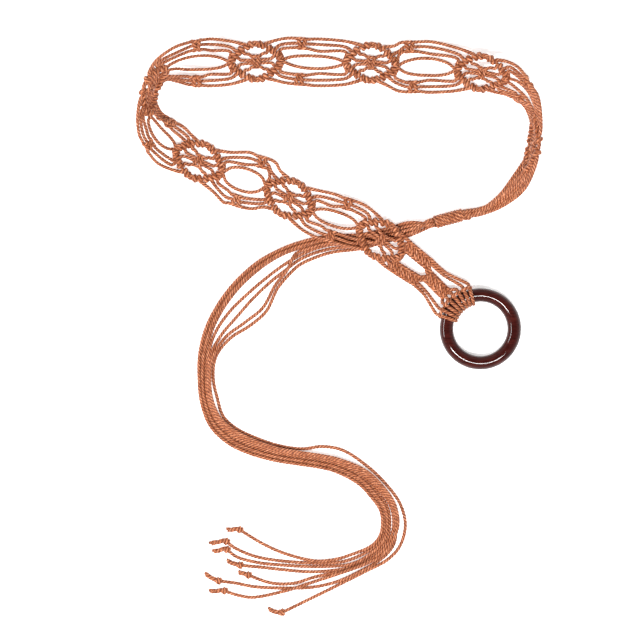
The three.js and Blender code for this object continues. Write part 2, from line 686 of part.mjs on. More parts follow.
// The ways of the tassel's cords in the plane of the surface.
const tasselRoute = through(TASSEL_ROUTE, ["x", "y"]);
function tasselWay(k) {
  const points = TASSEL_ROUTE.map((row, i) => {
    const u = tasselRoute.along[i];
    const a = tasselRoute.at(u - 0.5);
    const b = tasselRoute.at(u + 0.5);
    const ahead = new THREE.Vector2(b.x - a.x, b.y - a.y).normalize();
    const out = row.lanes[k] * PITCH;
    return new THREE.Vector3(row.x - ahead.y * out, row.y + ahead.x * out, 0);
  });
  const face = COLLAR_U + WRAP_L;
  const [v, w] = bundled(k, BUNDLE_R);
  const start = [place(face - 1, v, w), place(face + CORD_D, v, w)];
  const ends = TASSEL_ENDS[k];
  const rest = [...ends.way, ends.knot].map(([x, y]) => new THREE.Vector3(x, y, 0));
  return [...start, ...points, ...rest];
}

// The height of a cord that rests on the surface and on the cords laid before it, as a low hump.
const HUMP_SLOPE = 0.35;
const TASSEL_STEPS = 32;
function laidHeights(points, laid) {
  const heights = points.map((p) => {
    let z = CORD_R;
    for (const other of laid) {
      for (let i = 0; i < other.length - 1; i++) {
        const a = other[i];
        const b = other[i + 1];
        const dx = b.x - a.x;
        const dy = b.y - a.y;
        const s = ((p.x - a.x) * dx + (p.y - a.y) * dy) / (dx * dx + dy * dy);
        const t = Math.min(Math.max(s, 0), 1);
        const apart = Math.hypot(p.x - a.x - t * dx, p.y - a.y - t * dy);
        if (apart < TOUCH) z = Math.max(z, a.z + t * (b.z - a.z) + Math.sqrt(TOUCH ** 2 - apart ** 2));
      }
    }
    return z;
  });
  const step = points[1].distanceTo(points[0]);
  return heights.map((_, i) => Math.max(...heights.map((z, j) => z - HUMP_SLOPE * step * Math.abs(i - j))));
}

// The cords fall from the collar to the surface over this length.
const COLLAR_FALL = 20;
function tasselCords() {
  const laid = [];
  const cords = [];
  for (const k of LAID) {
    const way = tasselWay(k);
    const curve = new THREE.CatmullRomCurve3(way, false, "centripetal");
    curve.arcLengthDivisions = 800;
    const points = curve.getSpacedPoints(TASSEL_STEPS);
    const step = curve.getLength() / TASSEL_STEPS;
    const flat = points.map((p) => new THREE.Vector3(p.x, p.y, 0));
    const rest = laidHeights(flat, laid);
    const high = way[0].z;
    points.forEach((p, i) => {
      const fall = Math.min((i * step) / COLLAR_FALL, 1);
      const eased = fall * fall * (3 - 2 * fall);
      p.z = rest[i] + (high - rest[i]) * (1 - eased);
    });
    laid.push(points);
    cords[k] = points;
  }
  return cords;
}

// An end knot's widths along it, its steps and its thickness, as shares of half its diameter.
const END_KNOT_FORM = [0.45, 1, 0.95, 0.45];
const END_KNOT_STEP = 0.62;
const END_KNOT_THICK = 0.9;
function endKnot(k, points) {
  const last = points[points.length - 1];
  const ahead = last.clone().sub(points[points.length - 2]).setZ(0).normalize();
  const across = new THREE.Vector3(-ahead.y, ahead.x, 0);
  const half = END_KNOT_D / 2;
  const centers = END_KNOT_FORM.map((share, i) => {
    const at = last.clone().addScaledVector(ahead, (i - 1.5) * END_KNOT_STEP * half);
    at.z = Math.max(at.z, half * END_KNOT_THICK);
    return { at, wide: share * half, thick: share * half * END_KNOT_THICK };
  });
  const [x, y] = TASSEL_ENDS[k].tail;
  const way = new THREE.Vector3(x - last.x, y - last.y, 0).setLength(TAIL_L);
  const tip = last.clone().add(way);
  tip.z = TAIL_D / 2;
  const from = last.clone().setZ(half * END_KNOT_THICK);
  return [bar(centers, () => across, KNOT_SIDES), cord([from, tip], TAIL_D)];
}

const WRAP_WAIST = 0.9;
function wrapSolid() {
  const u = (t) => COLLAR_U + t * WRAP_L;
  const pointAt = (t) => place(u(t), 0, 0);
  return knottedBar(pointAt, (t) => leftAt(u(t)), WRAP_TURNS, WRAP_D / 2, WRAP_D / 2, WRAP_WAIST);
}

function tasselSolid() {
  const solids = [wrapSolid()];
  tasselCords().forEach((points, k) => {
    solids.push(cord(points, CORD_D, TASSEL_SIDES), ...endKnot(k, points));
  });
  return joined(solids);
}

// Assembly

function diamondSolid(n) {
  const center = CENTERS[n];
  const solids = [frame(center), centerKnot(center)];
  for (const side of [-1, 1]) {
    solids.push(insidePair(center, side));
    if (n > 0) {
      solids.push(...linkCords(n - 1, side).after.map((points) => flatCord(points, side)));
      solids.push(eyeCord(n - 1, side, -1));
    }
    if (n < CENTERS.length - 1) {
      solids.push(...linkCords(n, side).before.map((points) => flatCord(points, side)));
      solids.push(eyeCord(n, side, 1));
    }
  }
  if (n === CENTERS.length - 1) solids.push(...gatheredCords());
  return joined(solids);
}

const pieces = [["ring", ringSolid(), RING_MATERIAL]];
for (let n = 0; n < HITCHES; n++) pieces.push([`ring_hitch_${n + 1}`, hitch(n), CORD_MATERIAL]);
pieces.push(["sennit_center", centerSennit(), CORD_MATERIAL]);
pieces.push(["sennit_right", sideSennit(-1), CORD_MATERIAL]);
pieces.push(["sennit_left", sideSennit(1), CORD_MATERIAL]);
CENTERS.forEach((_, n) => pieces.push([`diamond_${n + 1}`, diamondSolid(n), CORD_MATERIAL]));
LINKS.forEach((_, n) => {
  pieces.push([`side_knot_${n + 1}_outer`, sideKnot(n, 1), CORD_MATERIAL]);
  pieces.push([`side_knot_${n + 1}_inner`, sideKnot(n, -1), CORD_MATERIAL]);
});
pieces.push(["tassel", tasselSolid(), CORD_MATERIAL]);

// The origin is under the middle of the whole belt, on the surface.
const whole = new THREE.Box3();
for (const [, solid] of pieces) {
  const { min, max } = solid.boundingBox();
  whole.union(new THREE.Box3(new THREE.Vector3(...min), new THREE.Vector3(...max)));
}
const origin = whole.getCenter(new THREE.Vector3()).setZ(whole.min.z);

function meshOf(name, solid, material) {
  const { vertProperties, triVerts } = solid.getMesh();
  const geometry = new THREE.BufferGeometry();
  geometry.setAttribute("position", new THREE.BufferAttribute(vertProperties, 3));
  geometry.setIndex(new THREE.BufferAttribute(triVerts, 1));
  geometry.computeVertexNormals();
  const mesh = new THREE.Mesh(geometry, new THREE.MeshStandardMaterial(material));
  mesh.name = name;
  mesh.position.copy(origin).negate();
  return mesh;
}

const belt = new THREE.Group();
belt.name = "tassel_belt";
for (const piece of pieces) belt.add(meshOf(...piece));

export default belt;
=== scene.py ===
# A knotted cord belt with a wooden ring and a long tassel, laid on a pale surface and seen from above.
import math

import bpy
import numpy as np
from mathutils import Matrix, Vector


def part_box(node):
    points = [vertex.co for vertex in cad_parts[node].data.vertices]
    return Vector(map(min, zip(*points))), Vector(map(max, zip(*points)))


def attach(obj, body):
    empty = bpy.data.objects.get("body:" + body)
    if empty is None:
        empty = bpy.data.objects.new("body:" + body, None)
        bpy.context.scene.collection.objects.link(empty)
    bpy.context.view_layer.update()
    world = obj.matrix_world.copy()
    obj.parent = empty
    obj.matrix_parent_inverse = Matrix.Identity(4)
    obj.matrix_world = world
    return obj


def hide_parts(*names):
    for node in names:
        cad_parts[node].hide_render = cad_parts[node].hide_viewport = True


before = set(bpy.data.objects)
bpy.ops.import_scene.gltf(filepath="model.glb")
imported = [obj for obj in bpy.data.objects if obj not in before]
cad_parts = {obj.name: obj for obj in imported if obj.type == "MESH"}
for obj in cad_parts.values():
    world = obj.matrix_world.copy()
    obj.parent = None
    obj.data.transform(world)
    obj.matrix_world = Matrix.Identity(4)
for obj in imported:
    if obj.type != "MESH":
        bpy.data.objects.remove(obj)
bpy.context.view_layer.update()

# Sizes in metres, angles in degrees
CORD_D = 0.00275
GAP = 0.0003
RING_OD = 0.07
RING_TUBE_D = 0.0117
HITCHES = 4
STRANDS = 2 * HITCHES
HITCH_ANGLE = 8
HITCH_CENTER = 133.5
BAND_W = 0.043
DIAMOND_L = 0.043
DIAMOND_W = 0.031
SIDE_KNOT_L = 0.008
CENTER_KNOT_L = 0.0076
SENNIT_L = 0.026
SENNIT_W = 0.0114
WRAP_L = 0.028
WRAP_D = 0.0114
WRAP_TURNS = 10
END_KNOT_D = 0.0058

# The photo's width in pixels, and the length that one pixel shows
PHOTO_W = 640
PIXEL = 0.00086

# Sizes that follow the cord
CORD_R = CORD_D / 2
PITCH = CORD_D + GAP
BAR_D = 2.15 * CORD_D
KNOT_T = 2.2 * CORD_D
KNOT_W = 3.9 * CORD_D
RING_R = (RING_OD - RING_TUBE_D) / 2
TUBE_R = RING_TUBE_D / 2
HALF_L = DIAMOND_L / 2
HALF_W = DIAMOND_W / 2
HALF_BAND = BAND_W / 2
TOUCH = CORD_D + GAP / 2

# The twisted cord: the length of one full twist, its plies, the depth and the sharpness of the grooves
# between them, and how much thicker than its size it shows. Its mesh has rings a step apart.
LAY = 3.2 * CORD_D
PLIES = 3
GROOVE = 0.19
GROOVE_SHARPNESS = 1.3
FULLNESS = 1.11
SECTION_SIDES = 12
STEP = 0.0007

# Half the span over which a direction is measured, on a route and on a diamond's frame, the finest step
# along a curve, and what rounding can add to a length
PROBE = 0.0005
FRAME_PROBE = 0.0003
FINE_STEP = 0.00025
ROUNDING = 1e-9

# The middle of the band from the ring to the collar: x, y, the roll that turns the outer edge up, in
# degrees, and the height over the surface in cord diameters.
BAND_ROUTE = [
    (0.1115, 0.02, 0, 0.9),
    (0.104, 0.026, 0, 1.0),
    (0.092, 0.038, 0, 1.3),
    (0.081, 0.046, 0, 1.8),
    (0.07, 0.054, 0, 2.3),
    (0.0525, 0.0685, 0, 2.45),
    (0.033, 0.08, 1, 2.3),
    (0.014, 0.0865, 5, 1.3),
    (-0.006, 0.0935, 2, 0.3),
    (-0.0265, 0.1045, 0, 0),
    (-0.046, 0.1145, 0, 0),
    (-0.064, 0.12, 0, 0),
    (-0.0845, 0.127, 0, 0),
    (-0.104, 0.1365, 0, 0),
    (-0.1235, 0.147, 10, 0),
    (-0.1385, 0.161, 40, 0),
    (-0.1465, 0.18, 62, 0),
    (-0.1455, 0.1985, 72, 0),
    (-0.1345, 0.2135, 60, 0),
    (-0.108, 0.22, 26, 0),
    (-0.079, 0.221, 6, 0),
    (-0.055, 0.222, 0, 0),
    (-0.032, 0.223, 0, 0),
    (-0.008, 0.2215, 0, 0),
    (0.02, 0.221, 0, 0),
    (0.044, 0.221, 0, 0),
    (0.068, 0.2175, 0, 0),
    (0.092, 0.2175, 0, 0),
    (0.115, 0.215, 8, 0),
    (0.139, 0.212, 24, 0),
    (0.162, 0.205, 46, 0),
    (0.1765, 0.1925, 68, 0),
    (0.1835, 0.175, 78, 0),
    (0.1835, 0.1495, 77, 0),
    (0.177, 0.1285, 70, 0),
    (0.168, 0.115, 45, 0),
    (0.156, 0.1035, 20, 0.2),
    (0.143, 0.0955, 0, 0.5),
    (0.124, 0.0907, 0, 0.9),
    (0.097, 0.0835, 0, 0.9),
]
DIAMOND_ROWS = [5, 9, 13, 17, 21, 25, 29, 33]
COLLAR_ROW = 38

# The links between neighbouring diamonds: where the outer and the inner side knot lie along the link,
# their distance from the middle and the half width of the eye, as shares of half the band's width.
LINKS = [
    (0.48, 0.36, 0.72, 0.29),
    (0.52, 0.24, 0.88, 0.45),
    (0.45, 0.59, 0.76, 0.29),
    (0.5, 0.44, 0.76, 0.29),
    (0.3, 0.3, 0.72, 0.25),
    (0.23, 0.27, 0.8, 0.34),
    (0.34, 0.46, 0.66, 0.26),
]

# The middle of the tassel, and each cord's distance to the left of it in cord pitches.
TASSEL_ROUTE = [
    (0.0775, 0.0785, (-1.75, -1.25, -0.75, -0.25, 0.75, 1.25, 0.25, 1.75)),
    (0.0645, 0.075, (-1.75, -1.25, -0.75, -0.25, 0.75, 1.25, 0.25, 1.75)),
    (0.0515, 0.0715, (-1.75, -1.25, -0.75, -0.25, 0.75, 1.25, 0.25, 1.75)),
    (0.0345, 0.068, (-1.75, -1.25, -0.75, -0.25, 0.75, 1.4, 0.25, 2.2)),
    (0.0085, 0.067, (-1.8, -1.3, -0.8, -0.3, 0.8, 1.9, 0.3, 3.0)),
    (-0.0085, 0.0635, (-1.8, -1.3, -0.8, -0.3, 1.2, 2.3, 0.5, 3.6)),
    (-0.022, 0.0595, (-1.8, -1.3, -0.8, -0.3, 1.9, 3.0, 1.0, 4.3)),
    (-0.034, 0.0545, (-1.8, -1.3, -0.8, -0.3, 2.5, 4.0, 4.3, 5.6)),
    (-0.05, 0.0455, (-1.8, -1.2, -0.6, 0, 3.2, 4.8, 6.4, 7.5)),
    (-0.069, 0.029, (-1.7, -1.1, -0.5, 0.1, 3.1, 5.1, 8.9, 10.3)),
    (-0.0835, 0.01, (-1.7, -1.1, -0.5, 0.1, 2.1, 4.6, 7.4, 9.1)),
    (-0.0935, -0.01, (-1.7, -1.1, -0.5, 0.1, 1.2, 3.0, 4.4, 5.7)),
    (-0.098, -0.03, (-1.8, -1.2, -0.6, 0, 0.6, 1.3, 2.1, 2.9)),
    (-0.0985, -0.05, (-1.8, -1.3, -0.8, -0.2, 0.3, 0.8, 1.3, 2.2)),
    (-0.096, -0.069, (-2.0, -1.5, -1.0, -0.5, 0, 0.5, 1.1, 2.6)),
    (-0.0885, -0.087, (-2.3, -1.7, -1.1, -0.5, 0.1, 0.7, 1.3, 2.2)),
    (-0.075, -0.099, (-2.6, -2.0, -1.3, -0.7, 0, 0.7, 1.4, 2.1)),
    (-0.058, -0.1075, (-2.5, -1.9, -1.3, -0.7, 0, 0.7, 1.4, 2.2)),
    (-0.038, -0.114, (-2.2, -1.6, -1.1, -0.5, 0.1, 0.7, 1.3, 2.1)),
    (-0.017, -0.118, (-2.0, -1.4, -0.9, -0.3, 0.3, 0.9, 1.4, 2.4)),
    (0, -0.1205, (-2.0, -1.4, -0.9, -0.3, 0.3, 0.9, 1.4, 3.9)),
    (0.015, -0.124, (-2.1, -1.5, -0.9, -0.3, 0.3, 0.9, 1.5, 4.2)),
    (0.037, -0.1345, (-2.4, -1.7, -1.0, -0.3, 0.4, 1.1, 1.8, 3.0)),
    (0.0505, -0.1475, (-2.6, -1.9, -1.2, -0.5, 0.4, 1.1, 1.8, 2.9)),
    (0.0595, -0.161, (-2.6, -1.9, -1.2, -0.5, 0.5, 1.1, 1.7, 3.2)),
    (0.0615, -0.1755, (-2.6, -1.9, -1.2, -0.5, 0.6, 1.2, 1.8, 3.9)),
    (0.0585, -0.1895, (-2.6, -1.8, -1.1, -0.4, 0.4, 1.9, 1.2, 3.7)),
    (0.05, -0.1995, (-2.6, -1.8, -1.0, -0.2, 0.5, 2.1, 1.3, 3.4)),
]

# Each tassel cord's own way from there, its end knot and the end of its tail.
TASSEL_ENDS = [
    ([(0.026, -0.202), (0.0145, -0.2055), (-0.0045, -0.207), (-0.031, -0.2005), (-0.049, -0.1925)],
     (-0.069, -0.1805), (-0.0805, -0.1805)),
    ([(0.0275, -0.2055), (0.0145, -0.2085), (-0.017, -0.2085), (-0.055, -0.2035), (-0.074, -0.1955)],
     (-0.0805, -0.1905), (-0.0955, -0.1925)),
    ([(0.029, -0.209), (0.0015, -0.212), (-0.036, -0.2105), (-0.055, -0.2083), (-0.072, -0.2035)],
     (-0.08, -0.1975), (-0.0925, -0.1995)),
    ([(0.0275, -0.212), (-0.0045, -0.2165), (-0.036, -0.2143), (-0.052, -0.2125)],
     (-0.0685, -0.211), (-0.0805, -0.207)),
    ([(0.028, -0.2135), (-0.0045, -0.221), (-0.0235, -0.2265), (-0.0425, -0.226)],
     (-0.0615, -0.2195), (-0.0705, -0.2165)),
    ([(0.0335, -0.2165), (0.0145, -0.225), (-0.0045, -0.2295),
      (-0.017, -0.2305), (-0.055, -0.2295), (-0.074, -0.226)],
     (-0.087, -0.2245), (-0.0995, -0.218)),
    ([(0.038, -0.21), (0.0145, -0.2185), (-0.011, -0.227),
      (-0.036, -0.2345), (-0.059, -0.2385), (-0.073, -0.236)],
     (-0.082, -0.233), (-0.0955, -0.2335)),
    ([(0.0395, -0.216), (0.0145, -0.2285), (-0.011, -0.241)],
     (-0.0325, -0.2515), (-0.045, -0.2485)),
]

# The order in which the tassel's cords come to rest on the surface and on each other.
LAID = [1, 3, 4, 7, 0, 2, 5, 6]


# Curves

def unit(v):
    return v / np.linalg.norm(v)


def distances(path):
    """The length along a path up to each of its points."""
    return np.concatenate([[0], np.cumsum(np.linalg.norm(np.diff(path, axis=0), axis=1))])


class Route:
    """A cubic curve through rows of columns over the distance along the first two."""

    def __init__(self, rows):
        self.rows = np.array(rows, float)
        self.along = distances(self.rows[:, :2])
        last = len(rows) - 1
        self.slopes = np.array([
            (self.rows[min(i + 1, last)] - self.rows[max(i - 1, 0)])
            / (self.along[min(i + 1, last)] - self.along[max(i - 1, 0)])
            for i in range(last + 1)])

    def at(self, u):
        i = int(np.clip(np.searchsorted(self.along, u) - 1, 0, len(self.along) - 2))
        span = self.along[i + 1] - self.along[i]
        t = (u - self.along[i]) / span
        p, q = self.rows[i], self.rows[i + 1]
        m, n = self.slopes[i] * span, self.slopes[i + 1] * span
        if t < 0:
            return p + m * t
        if t > 1:
            return q + n * (t - 1)
        return p + t * (m + t * (3 * (q - p) - 2 * m - n + t * (m + n - 2 * (q - p))))

    def left(self, u):
        ahead = (self.at(u + PROBE) - self.at(u - PROBE))[:2]
        ahead /= np.hypot(*ahead)
        return np.array([-ahead[1], ahead[0]])


def smooth_curve(points, step=STEP):
    """Evenly spaced points on a centripetal curve through points, with the span that each lies on."""
    p = np.asarray(points, float)
    p = np.vstack([2 * p[0] - p[1], p, 2 * p[-1] - p[-2]])
    knots = np.sqrt(np.maximum(np.linalg.norm(np.diff(p, axis=0), axis=1), ROUNDING))
    fine, span = [], []
    for i in range(1, len(p) - 2):
        t0, t1, t2, t3 = np.cumsum([0, *knots[i - 1:i + 2]])
        count = max(2, math.ceil(knots[i] ** 2 / FINE_STEP))
        t = np.linspace(t1, t2, count, endpoint=False)[:, None]
        a = p[i - 1] * (t1 - t) / (t1 - t0) + p[i] * (t - t0) / (t1 - t0)
        b = p[i] * (t2 - t) / (t2 - t1) + p[i + 1] * (t - t1) / (t2 - t1)
        c = p[i + 1] * (t3 - t) / (t3 - t2) + p[i + 2] * (t - t2) / (t3 - t2)
        d = a * (t2 - t) / (t2 - t0) + b * (t - t0) / (t2 - t0)
        e = b * (t3 - t) / (t3 - t1) + c * (t - t1) / (t3 - t1)
        fine.append(d * (t2 - t) / (t2 - t1) + e * (t - t1) / (t2 - t1))
        span += [i - 1 + k / count for k in range(count)]
    fine = np.vstack(fine + [p[-2:-1]])
    span = np.array(span + [len(p) - 3])
    along = distances(fine)
    even = np.linspace(0, along[-1], max(2, round(along[-1] / step)) + 1)
    out = np.column_stack([np.interp(even, along, fine[:, k]) for k in range(3)])
    return out, np.interp(even, along, span)


# The band's own space: u along it, v to the left across it and w out of its upper face

band = Route(BAND_ROUTE)
CENTERS = [band.along[i] for i in DIAMOND_ROWS]
COLLAR_U = band.along[COLLAR_ROW]


def standing(u):
    """How far below the middle of the band its lower edge reaches when the band stands on it. A diamond's
    tips belong to the diamond."""
    nearest = min(abs(u - c) for c in CENTERS)
    wide = HALF_W + BAR_D / 2
    return max(wide, HALF_BAND - CORD_R) if nearest > HALF_L + ROUNDING else wide


def place(u, v, w):
    """A point of the band's space. One that would be under the surface lies on it instead."""
    x, y, roll, lift = band.at(u)
    left = band.left(u)
    turn = math.radians(roll)
    base = BAR_D / 2 * math.cos(turn) + lift * CORD_D + standing(u) * math.sin(turn)
    out = v * math.cos(turn) - w * math.sin(turn)
    z = base + v * math.sin(turn) + w * math.cos(turn)
    return np.array([x + out * left[0], y + out * left[1], max(z, CORD_R)])


def stretch(u, v):
    """The real length of a unit of u at v across the band."""
    return np.linalg.norm(place(u + PROBE, v, 0) - place(u - PROBE, v, 0)) / (2 * PROBE)


# The ring's own space: degrees round it, and a place in the section from its middle circle

ring_tilt = math.atan2(PITCH, 2 * RING_R)
ring_angle = math.radians(HITCH_CENTER)
ring_back = np.array([math.cos(ring_angle), math.sin(ring_angle), 0])
ring_center = place(0, 0, 0) - ring_back * (RING_OD / 2 + PITCH)
ring_center[2] = TUBE_R + PITCH / 2


def tilted(points):
    """Points round the ring's middle, tilted as the ring is and put in its place."""
    points = np.atleast_2d(points)
    axis = np.array([ring_back[1], -ring_back[0], 0])
    c, s = math.cos(ring_tilt), math.sin(ring_tilt)
    turned = points * c + np.cross(axis, points) * s + np.outer(points @ axis, axis) * (1 - c)
    return turned + ring_center


def by_ring(degrees, out, up):
    a = math.radians(degrees)
    return tilted([(RING_R + out) * math.cos(a), (RING_R + out) * math.sin(a), up])[0]


# From the places in the tables to those in the frame, by the middle of the ring in both
low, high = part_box("ring")
SHIFT = np.array((low + high) / 2) - ring_center


# Camera: straight above, at the photo's scale

LENS = 300
SENSOR = 36
view_width = PHOTO_W * PIXEL
camera = bpy.data.cameras.new("camera")
camera.lens = LENS
camera.sensor_width = SENSOR
camera_object = bpy.data.objects.new("camera", camera)
bpy.context.collection.objects.link(camera_object)
camera_object.location = (*SHIFT[:2], view_width * LENS / SENSOR)
bpy.context.scene.camera = camera_object


# Meshes

# A direction that no cord starts along
OFF_PATH = (0.3, 0.2, 1)


def frames_along(path):
    """A direction across the path at each point, turning as little as it can."""
    ahead = np.gradient(path, axis=0)
    ahead /= np.linalg.norm(ahead, axis=1)[:, None]
    side = unit(np.cross(ahead[0], OFF_PATH))
    sides = [side]
    for i in range(1, len(path)):
        side = side - ahead[i] * (side @ ahead[i])
        side = side / math.sqrt(side @ side)
        sides.append(side)
    sides = np.array(sides)
    return ahead, sides, np.cross(ahead, sides)


# How far the fibres move on from one cord's number to the next, so that no two look alike, and the numbers
# that follow the tassel's eight cords
FIBRE_SPACING = 0.4
PLY_NUMBER = 0.3
FOLDED_NUMBER = 10
COLLAR_NUMBER = 20


class Rings:
    """Closed tubes of rings, gathered for one mesh, with the places in the cord's own space."""

    def __init__(self):
        self.points, self.faces, self.sizes, self.fibre, self.groove_shade = [], [], [], [], []
        self.count = 0

    def add(self, rings, fibre, groove_shade):
        n, sides = rings.shape[:2]
        index = self.count + np.arange(n * sides).reshape(n, sides)
        a, b = index[:-1], index[1:]
        quads = np.stack([a, np.roll(a, -1, 1), np.roll(b, -1, 1), b], axis=-1).reshape(-1, 4)
        self.faces += [quads.ravel(), index[0, ::-1], index[-1]]
        self.sizes += [np.full(len(quads), 4), [sides], [sides]]
        self.points.append(rings.reshape(-1, 3))
        self.fibre.append(fibre.reshape(-1, 3))
        self.groove_shade.append(groove_shade.ravel())
        self.count += n * sides

    def object(self, name, material):
        """One object of all the tubes, with the fibre values, and the groove depths that its material
        paints as shade.
        """
        points = np.vstack(self.points) + SHIFT
        faces = np.concatenate(self.faces).astype(np.int32)
        sizes = np.concatenate(self.sizes).astype(np.int32)
        starts = np.concatenate([[0], np.cumsum(sizes)[:-1]]).astype(np.int32)
        mesh = bpy.data.meshes.new(name)
        mesh.vertices.add(len(points))
        mesh.vertices.foreach_set("co", points.astype(np.float32).ravel())
        mesh.loops.add(len(faces))
        mesh.loops.foreach_set("vertex_index", faces)
        mesh.polygons.add(len(sizes))
        mesh.polygons.foreach_set("loop_start", starts)
        mesh.polygons.foreach_set("use_smooth", np.ones(len(sizes), bool))
        for label, kind, key, values in [("fibre", "FLOAT_VECTOR", "vector", np.vstack(self.fibre)),
                                         ("groove_shade", "FLOAT", "value", np.concatenate(self.groove_shade))]:
            attribute = mesh.attributes.new(label, kind, "POINT")
            attribute.data.foreach_set(key, values.astype(np.float32).ravel())
        mesh.update(calc_edges=True)
        mesh.materials.append(material)
        made = bpy.data.objects.new(name, mesh)
        bpy.context.collection.objects.link(made)
        return made


class Cord:
    """A twisted cord along a path: its rings can be taken a stretch at a time. Each point has a size, as
    a share of the radius, and a tag."""

    def __init__(self, points, number, sizes=None, tags=None, radius=CORD_R, depth=GROOVE):
        self.path, span = smooth_curve(points)
        self.tags = None if tags is None else [tags[min(int(s), len(tags) - 1)] for s in span]
        fat = np.ones(len(span)) if sizes is None else np.interp(span, range(len(sizes)), sizes)
        self.path[:, 2] = np.maximum(self.path[:, 2], FULLNESS * radius * fat - SHIFT[2])
        along = distances(self.path)
        self.length = along[-1]
        _, side, up = frames_along(self.path)
        angle = np.arange(SECTION_SIDES) * 2 * math.pi / SECTION_SIDES
        valley = (0.5 - 0.5 * np.cos(PLIES * angle)) ** GROOVE_SHARPNESS
        turn = angle[None, :] - (along * 2 * math.pi / LAY)[:, None]
        reach = FULLNESS * radius * fat[:, None] * (1 - depth * valley)[None, :]
        self.rings = (self.path[:, None, :] + side[:, None, :] * (reach * np.cos(turn))[..., None]
                      + up[:, None, :] * (reach * np.sin(turn))[..., None])
        # How deep in a groove each point lies, which the material turns into painted shade
        self.groove_shade = np.broadcast_to(valley, turn.shape)
        around = np.broadcast_to(angle, turn.shape)
        drawn = np.broadcast_to((along + FIBRE_SPACING * number)[:, None], turn.shape)
        self.fibre = np.stack([np.cos(around) * radius, np.sin(around) * radius, drawn], axis=-1)

    def into(self, rings, first=0, last=None):
        last = len(self.path) if last is None else last
        rings.add(self.rings[first:last], self.fibre[first:last], self.groove_shade[first:last])

    def stretches(self):
        """The runs of rings that have the same tag, each reaching to the next one's first ring."""
        first = 0
        for i in range(1, len(self.tags) + 1):
            if i == len(self.tags) or self.tags[i] != self.tags[first]:
                last = min(i + 1, len(self.tags))
                if last - first > 1:
                    yield self.tags[first], first, last
                first = i


# Materials

def shader(name):
    material = bpy.data.materials.new(name)
    material.use_nodes = True
    nodes = material.node_tree.nodes
    return material, nodes, material.node_tree.links, nodes["Principled BSDF"]


def attribute(nodes, name):
    node = nodes.new("ShaderNodeAttribute")
    node.attribute_name = name
    return node


def noise(nodes, links, source, scale, detail, rough=0.6):
    """Noise over a place that is first scaled along each of its axes."""
    stretched = nodes.new("ShaderNodeMapping")
    stretched.inputs["Scale"].default_value = scale
    links.new(source, stretched.inputs["Vector"])
    node = nodes.new("ShaderNodeTexNoise")
    node.inputs["Scale"].default_value = 1
    node.inputs["Detail"].default_value = detail
    node.inputs["Roughness"].default_value = rough
    links.new(stretched.outputs["Vector"], node.inputs["Vector"])
    return node.outputs["Fac"]


def shaded(nodes, links, source, stops):
    """The colours of a ramp over a value."""
    node = nodes.new("ShaderNodeValToRGB")
    elements = node.color_ramp.elements
    for element, (position, color) in zip(elements, (stops[0], stops[-1])):
        element.position = position
        element.color = (*color, 1)
    for position, color in stops[1:-1]:
        elements.new(position).color = (*color, 1)
    links.new(source, node.inputs["Fac"])
    return node.outputs["Color"]


def multiplied(nodes, links, a, b):
    node = nodes.new("ShaderNodeMix")
    node.data_type = "RGBA"
    node.blend_type = "MULTIPLY"
    factor, color_a, color_b = (node.inputs[i] for i in (0, 6, 7))
    factor.default_value = 1
    links.new(a, color_a)
    links.new(b, color_b)
    return node.outputs[2]


def bumped(nodes, links, source, surface, strength, distance):
    bump = nodes.new("ShaderNodeBump")
    bump.inputs["Strength"].default_value = strength
    bump.inputs["Distance"].default_value = distance
    links.new(source, bump.inputs["Height"])
    links.new(bump.outputs["Normal"], surface.inputs["Normal"])


# The cord's noises, from its fibres to its flecks: the scale round the cord and along it, and the detail
FIBRES = [((4500, 4500, 350), 5), ((1100, 1100, 160), 3), ((50, 50, 45), 2), ((900, 900, 550), 2)]


def cord_material():
    material, nodes, links, surface = shader("waxed_cord")
    place_in = attribute(nodes, "fibre").outputs["Vector"]
    groove_shade = attribute(nodes, "groove_shade").outputs["Fac"]
    fine, streak, broad, fleck = [noise(nodes, links, place_in, *row) for row in FIBRES]
    color = shaded(nodes, links, streak, [(0.34, (0.30, 0.078, 0.022)), (0.5, (0.47, 0.160, 0.066)),
                                          (0.66, (0.63, 0.275, 0.150))])
    # Fibres, broad patches and flecks vary the colour at random; the groove ramp is painted shade, darker
    # in the grooves between the plies and a little lighter on their crowns
    for source, stops in (
            (fine, [(0.3, (0.62, 0.58, 0.55)), (0.52, (1, 1, 1)), (0.74, (1.26, 1.3, 1.36))]),
            (broad, [(0.3, (0.9, 0.86, 0.84)), (0.7, (1.08, 1.1, 1.12))]),
            (fleck, [(0.36, (0.64, 0.53, 0.45)), (0.5, (1, 1, 1)), (0.64, (1.28, 1.38, 1.46))]),
            (groove_shade, [(0.1, (1.14, 1.14, 1.14)), (0.9, (0.26, 0.12, 0.06))])):
        color = multiplied(nodes, links, color, shaded(nodes, links, source, stops))
    links.new(color, surface.inputs["Base Color"])
    gloss = shaded(nodes, links, fine, [(0.3, (0.62, 0.62, 0.62)), (0.7, (0.46, 0.46, 0.46))])
    links.new(gloss, surface.inputs["Roughness"])
    surface.inputs["Specular IOR Level"].default_value = 0.3
    surface.inputs["Sheen Weight"].default_value = 0.05
    surface.inputs["Sheen Roughness"].default_value = 0.4
    surface.inputs["Sheen Tint"].default_value = (1.0, 0.82, 0.7, 1)
    bumped(nodes, links, fine, surface, 0.5, 0.00025)
    return material


